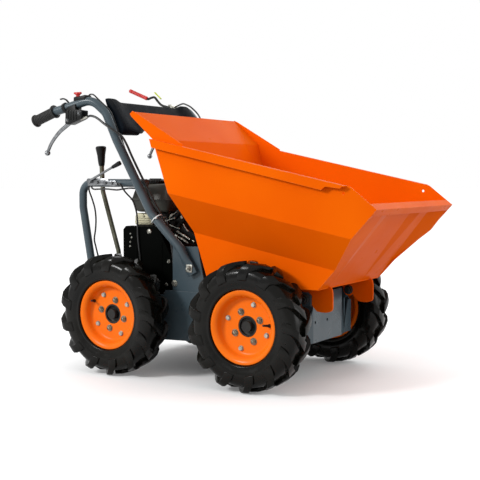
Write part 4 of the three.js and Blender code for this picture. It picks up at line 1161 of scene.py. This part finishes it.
crankcase = {
    "cover": [(-24, 500), (52, 500), (52, 524), (40, 536), (-14, 541), (-24, 532)], "reach": (-146, -113),
    "ribs": (507, 515, 523), "bosses": [(-16, 510), (44, 510), (12, 531)],
    "boss": [(0, 0), (0, 6), (5, 5.4), (5, 0)],
}
carburettor = {
    "body": ((84, -148, 452), (118, -112, 500)), "shroud": ((60, -150, 506), (124, -146.5, 540)), "slots": 5,
    "bowl": ([(0, 0), (0, 15), (2, 17), (22, 17), (26, 14), (27, 0)], (101, -131, 425)),
    "intake": ([(0, 0), (0, 13), (3, 14), (14, 14), (15, 12), (15, 0)], (84, -131, 476), (-1, 0, 0)),
    "drum": ([(0, 0), (0, 7), (12, 7), (13, 5), (13, 0)], (152, -149, 508)),
    "pin": ([(0, 0), (0, 5), (9, 5), (10, 3.6), (10, 0)], (170, -149, 500)),
    "rodEnd": ([(0, 0), (0, 3.6), (9, 3.6), (10, 2.6), (10, 0)], (226, -153, 452)),
    "rods": [((113, -152, 516), (149, -152, 526)), ((120, -152, 506), (168, -152, 492)),
             ((132, -152, 530), (160, -152, 548)), ((186, -152, 508), (204, -152, 484))],
    "screws": [(138, 499), (113, 516), (149, 526), (168, 492), (204, 484)], "screwHead": (4.6, 4),
    "nuts": [(140, 452), (134, 534), (164, 424)], "nut": (9, 5, 6.6), "linkHead": (7, 4.5),
    "adjusters": [(162, -153, 482), (154, -153, 470)], "adjusterRun": (0.9, 0, -0.44),
    "adjuster": [(0, 0), (0, 3.4), (6, 3.4), (6, 5.6), (11, 5.6), (11, 3), (30, 3), (30, 5.6), (36, 5.6),
                 (36, 4.2), (52, 4.2), (54, 2.4), (60, 2.4), (60, 0)],
    "plates": [[(104, 508), (152, 520), (190, 538), (190, 520), (176, 506), (140, 488), (104, 492)],
               [(140, 488), (176, 502), (212, 480), (240, 456), (240, 438), (208, 444), (150, 468)],
               [(126, 524), (160, 556), (172, 548), (152, 520)]],
    "plateReach": (-149.6, -143),
    "spring": ((80, -153, 512), (112, -153, 530)), "springTurns": 7, "springRadius": 3.6, "springWire": 0.7,
    "pipes": [
        (3.4, 14, [(112, -128, 546), (114, -140, 536), (118, -150, 520), (128, -154, 498), (132, -152, 478),
                   (120, -146, 462), (108, -140, 452)]),
        (2.4, 12, [(64, -112, 538), (70, -140, 536), (82, -152, 520), (88, -152, 500), (84, -142, 484)]),
    ],
}
airFilter = {
    "ribs": 6, "ribFirst": 412, "ribPitch": 19, "lid": ((118, -142, 532), (174, -18, 540)),
    "knob": [(0, 0), (0, 11), (3, 12), (9, 12), (11, 9), (11, 0)], "knobPlace": (146, -80, 539.5),
}
muffler = {
    "rows": 5, "rowFirst": 384, "rowPitch": 26, "columns": (14, 46, 78), "louvreWide": 24, "topRibs": 6,
    "outlet": [(0, 10), (0, 13), (22, 13), (22, 10)], "outletPlace": (150, 117, 470),
    "bolts": [(8, 372), (110, 372), (8, 508), (110, 508)], "head": (9, 4, 6.5),
}
starter = {
    "place": (46, 172, 392), "ribs": 18, "rib": [(28, -3.2), (62, -4.6), (62, 4.6), (28, 3.2)],
    "hub": [(0, 0), (0, 24), (3, 23), (5, 18), (6, 0)], "bolts": 3, "boltCircle": 70, "head": (10, 8, 7),
    "guide": [(-56, -14, 66), (-56, 4, 66)], "handleHalf": (6.5, 5),
    "handle": [(-78, 6, 60), (-66, 9, 63), (-46, 9, 69), (-34, 6, 72)],
}


def tankRing(bm, z, inset):
    # One level of the tank: a rectangle with round corners, drawn in by inset.
    (lowX, lowY), (highX, highY) = engine["tank"]
    radius = max(engine["tankCorner"] - inset, 6)
    ring = []
    for turn, x, y in ((0, highX, highY), (1, lowX, highY), (2, lowX, lowY), (3, highX, lowY)):
        middleX = x + (inset + radius) * (-1 if x == highX else 1)
        middleY = y + (inset + radius) * (-1 if y == highY else 1)
        for k in range(7):
            angle = math.pi / 2 * (turn + k / 6)
            spot = at(middleX + radius * math.cos(angle), middleY + radius * math.sin(angle), z)
            ring.append(bm.verts.new(spot))
    return ring


def addBlockAndTank():
    softened("engine_block", "engineBlack", "cast_alloy", 3.0, segments=3)
    softened("air_filter", "engineBlack", "black_plastic", 3.0, segments=3)
    softened("muffler", "engineBlack", "black_steel", 5.0, segments=3)
    softened("recoil_starter", "engineBlack", "black_steel", 2.0)
    lowX, lowY, highX, highY = engine["fin"]
    bm = bmesh.new()
    for i in range(engine["fins"]):
        z = engine["finFirst"] + i * engine["finPitch"]
        block(bm, (lowX, lowY, z), (highX, highY, z + engine["finThick"]), 0.8)
    newPiece("engine_fins", bm, "castAlloy")
    bm = bmesh.new()
    joinAll(bm, [tankRing(bm, z, inset) for z, inset in engine["tankWall"]])
    newPiece("fuel_tank_shell", bm, "tankPaint", ("fuel_tank",), 50)
    bm = bmesh.new()
    capX, capY = engine["cap"]
    r = engine["capRadius"]
    profile = [(632, 0), (632, r - 6), (642, r - 4), (645, r), (654, r), (656, r - 2), (656, 0)]
    turned(bm, profile, (capX, capY, 0), upward, 56)
    for i in range(engine["capRibs"]):
        angle = 2 * math.pi * i / engine["capRibs"]
        x = capX + math.cos(angle) * r
        y = capY + math.sin(angle) * r
        block(bm, (x - 1.6, y - 1.6, 645.5), (x + 1.6, y + 1.6, 654.5), 0.8)
    turned(bm, engine["capTop"], (capX, capY, 655.9), upward, 40)
    block(bm, (capX - 24, capY - 5, 656), (capX + 24, capY + 5, 662), 2.0, 3)
    newPiece("fuel_tank_cap", bm, "blackPlastic")


def addGuard():
    face = guard["face"]
    softened("belt_guard", "guardPaint", "black_steel", 2.2, segments=3)
    bm = bmesh.new()
    for i, (x, z) in enumerate(guard["screws"]):
        domeHead(bm, (x, face, z), rightward, 3.6 + 0.5 * (i % 2), 2.4)
    x, z = guard["dome"]
    domeHead(bm, (x, face, z), rightward, *guard["domeHead"])
    for x, z in guard["bolts"]:
        hexHead(bm, (x, face, z), rightward, *guard["head"], 0.01 * x)
    newPiece("belt_guard_bolts", bm, "zincPlate")
    bm = bmesh.new()
    for outline in guard["ribs"]:  # pressed ribs that stiffen the outer face
        slab(bm, outline, face - 2.2, face + 1, "y", 1.6, 3)
    newPiece("belt_guard_ribs", bm, "guardPaint")


def addCrankcase():
    bm = bmesh.new()
    slab(bm, crankcase["cover"], *crankcase["reach"], "y", 3.0, 3)
    for z in crankcase["ribs"]:
        block(bm, (-20, -149, z), (48, -140, z + 3))
    for x, z in crankcase["bosses"]:
        turned(bm, crankcase["boss"], (x, -145, z), rightward, 24)
    newPiece("crankcase_cover", bm, "castAlloy")


def addCarburettor():
    bm = bmesh.new()
    block(bm, *carburettor["body"], 3.0, 3)
    turned(bm, *carburettor["bowl"], upward, 32)
    turned(bm, *carburettor["intake"], 32)
    block(bm, *carburettor["shroud"], 1.2)
    for i in range(carburettor["slots"]):
        block(bm, (126 + i * 9, -144, 410 + i * 2), (130 + i * 9, -139, 520), 1.2)
    newPiece("carburettor_body", bm, "engineBlack")
    bm = bmesh.new()
    for start, end in carburettor["rods"]:
        tube(bm, [at(*start), at(*end)], 1.7, 12, 0.4)
    for x, z in carburettor["screws"]:
        domeHead(bm, (x, -149.5, z), rightward, *carburettor["screwHead"])
    domeHead(bm, (179, -149.5, 529), rightward, *carburettor["linkHead"])
    for x, z in carburettor["nuts"]:
        hexHead(bm, (x, -143, z), rightward, *carburettor["nut"], 0.02 * x)
    run = carburettor["adjusterRun"]
    for place in carburettor["adjusters"]:  # threaded barrels with their lock nuts
        turned(bm, carburettor["adjuster"], place, run, 20)
    newPiece("carburettor_links", bm, "zincPlate")
    bm = bmesh.new()
    for outline in carburettor["plates"]:
        slab(bm, outline, *carburettor["plateReach"], "y", 1.0)
    turned(bm, *carburettor["drum"], rightward, 24)
    turned(bm, *carburettor["pin"], rightward, 20)
    newPiece("link_plates", bm, "engineBlack")
    bm = bmesh.new()
    turned(bm, *carburettor["rodEnd"], run, 20)
    newPiece("link_end", bm, "darkNut")
    addSpring()
    bm = bmesh.new()
    for radius, count, points in carburettor["pipes"]:
        sweep(bm, curved(points, 6), radius, count)
    newPiece("fuel_pipes", bm, "cableSheath")


def addSpring():
    # A coil spring round the governor link, as one wound wire.
    bm = bmesh.new()
    start, end = [at(*p) for p in carburettor["spring"]]
    axis = (end - start).normalized()
    out = axis.orthogonal().normalized()
    side = axis.cross(out)
    count = carburettor["springTurns"] * 12
    path = []
    for i in range(count + 1):
        angle = 2 * math.pi * i / 12
        ring = (out * math.cos(angle) + side * math.sin(angle)) * carburettor["springRadius"] * mm
        path.append(start + (end - start) * (i / count) + ring)
    sweep(bm, path, carburettor["springWire"], 6, (0.1, 1, 0.2))
    newPiece("governor_spring", bm, "zincPlate")


def addAirFilterAndMuffler():
    bm = bmesh.new()
    for i in range(airFilter["ribs"]):
        z = airFilter["ribFirst"] + i * airFilter["ribPitch"]
        block(bm, (171, -130, z), (174.5, -30, z + 5), 1.4)
    block(bm, *airFilter["lid"], 2.0, 3)
    turned(bm, airFilter["knob"], airFilter["knobPlace"], upward, 24)
    newPiece("air_filter_cover", bm, "blackPlastic")
    bm = bmesh.new()
    for row in range(muffler["rows"]):
        z = muffler["rowFirst"] + row * muffler["rowPitch"]
        for y in muffler["columns"]:
            louvre = [(175, z), (180, z + 3), (180, z + 9), (175, z + 12)]
            slab(bm, louvre, y, y + muffler["louvreWide"], "y", 1.2)
    for i in range(muffler["topRibs"]):
        block(bm, (126, 8 + i * 18, 519), (170, 16 + i * 18, 523.5), 1.4)
    turned(bm, muffler["outlet"], muffler["outletPlace"], (0, 1, 0.1), 32, loop=True)
    newPiece("muffler_louvres", bm, "engineBlack")
    bm = bmesh.new()
    for y, z in muffler["bolts"]:
        hexHead(bm, (176, y, z), forward, *muffler["head"], y)
    newPiece("muffler_bolts", bm, "zincPlate")


def onStarter(x, y, z):
    startX, startY, startZ = starter["place"]
    return at(startX + x, startY + y, startZ + z)


def addStarter():
    bm = bmesh.new()
    for i in range(starter["ribs"]):
        part = bmesh.new()
        slab(part, starter["rib"], -1, 2.6, "y", 1.0)
        turn = Matrix.Rotation(2 * math.pi * i / starter["ribs"], 4, "Y")
        merge(bm, part, Matrix.Translation(onStarter(0, 0, 0)) @ turn @ Matrix.Translation(-at(0, 0, 0)))
    turned(bm, starter["hub"], onStarter(0, 0, 0), leftward, 40)
    newPiece("recoil_starter_ribs", bm, "engineBlack")
    bm = bmesh.new()
    for i in range(starter["bolts"]):
        angle = math.radians(30 + 120 * i)
        r = starter["boltCircle"]
        hexHead(bm, onStarter(r * math.cos(angle), -6, r * math.sin(angle)), leftward, *starter["head"], i)
    newPiece("recoil_starter_bolts", bm, "zincPlate")
    bm = bmesh.new()
    tube(bm, [onStarter(*p) for p in starter["guide"]], 4, 16)
    sweep(bm, throughPoints([onStarter(*p) for p in starter["handle"]], 5), starter["handleHalf"], 18)
    newPiece("recoil_starter_handle", bm, "blackPlastic")


addBlockAndTank()
addGuard()
addCrankcase()
addCarburettor()
addAirFilterAndMuffler()
addStarter()
print("engine made")


studio = {
    # glow: distance from the middle and the floor's glow there; the weak glow near the machine is painted
    # shade.
    "skyStrength": 0.72, "glowWithPaintedShade": (0.1, 1.15, 0.02, 0.42), "floorRadius": 60,
    "paper": ((238, 238, 238), (244, 244, 244)), "bounce": (178, 178, 178),
    "lamps": {
        "key": {"place": (-1900, -3900, 2600), "aim": (300, 0, 450), "size": 1.0, "power": 152},
        "fill": {"place": (3600, 1300, 1300), "aim": (400, 0, 450), "size": 2.0, "power": 33},
        "back": {"place": (600, 3600, 3200), "aim": (300, 0, 500), "size": 2.0, "power": 40},
    },
}


def seenRays(tree):
    # 1 for camera, glossy and transmission rays.
    rays = tree.nodes.new("ShaderNodeLightPath").outputs
    both = calc(tree, "MAXIMUM", rays["Is Camera Ray"], rays["Is Glossy Ray"])
    return calc(tree, "MAXIMUM", both, rays["Is Transmission Ray"])


def floorPaint():
    material = bpy.data.materials.new("floorPaint")
    material.use_nodes = True
    tree = material.node_tree
    shader = tree.nodes["Principled BSDF"].inputs
    low, high = studio["paper"]
    paper = blend(tree, clouds(tree, 0.3, 0.7, 2.0, 4.0), rgb(*low), rgb(*high))
    # The floor throws less light up at the machine than it shows.
    shown = blend(tree, seenRays(tree), rgb(*studio["bounce"]), paper)
    tree.links.new(shown, shader["Base Color"])
    shader["Roughness"].default_value = 0.8
    shader["Specular IOR Level"].default_value = 0.1
    shader["Emission Color"].default_value = (1, 1, 1, 1)
    # Painted shade: the floor glows for camera and glossy rays, only faintly near the machine and more
    # further out, so it is darker round the machine.
    place = feed(tree, "ShaderNodeNewGeometry", {}, "Position")
    far = feed(tree, "ShaderNodeVectorMath", {0: place}, "Value", operation="LENGTH")
    glowWithPaintedShade = calc(tree, "MULTIPLY", seenRays(tree), stretch(tree, far, *studio["glowWithPaintedShade"]))
    tree.links.new(glowWithPaintedShade, shader["Emission Strength"])
    return material


def addStudio():
    world = bpy.data.worlds.new("surroundings")
    scene.world = world
    world.use_nodes = True
    tree = world.node_tree
    sky = tree.nodes["Background"].inputs
    sky["Color"].default_value = (1, 1, 1, 1)
    tree.links.new(stretch(tree, seenRays(tree), 0.0, 1.0, studio["skyStrength"], 1.0), sky["Strength"])
    bm = bmesh.new()
    bmesh.ops.create_circle(bm, cap_ends=True, segments=64, radius=studio["floorRadius"])
    mesh = bpy.data.meshes.new("floor")
    bm.to_mesh(mesh)
    bm.free()
    mesh.materials.append(floorPaint())
    floor = bpy.data.objects.new("floor", mesh)
    scene.collection.objects.link(floor)
    for name, lamp in studio["lamps"].items():
        light = bpy.data.lights.new(name, "AREA")
        light.shape = "SQUARE"
        light.size = lamp["size"]
        light.energy = lamp["power"]
        holder = bpy.data.objects.new(name, light)
        holder.location = at(*lamp["place"])
        aim = at(*lamp["aim"]) - holder.location
        holder.rotation_euler = aim.to_track_quat("-Z", "Y").to_euler()
        scene.collection.objects.link(holder)
    scene.view_settings.view_transform = "Standard"


addCamera(cameraView)
addStudio()
bpy.context.view_layer.update()
print("done")
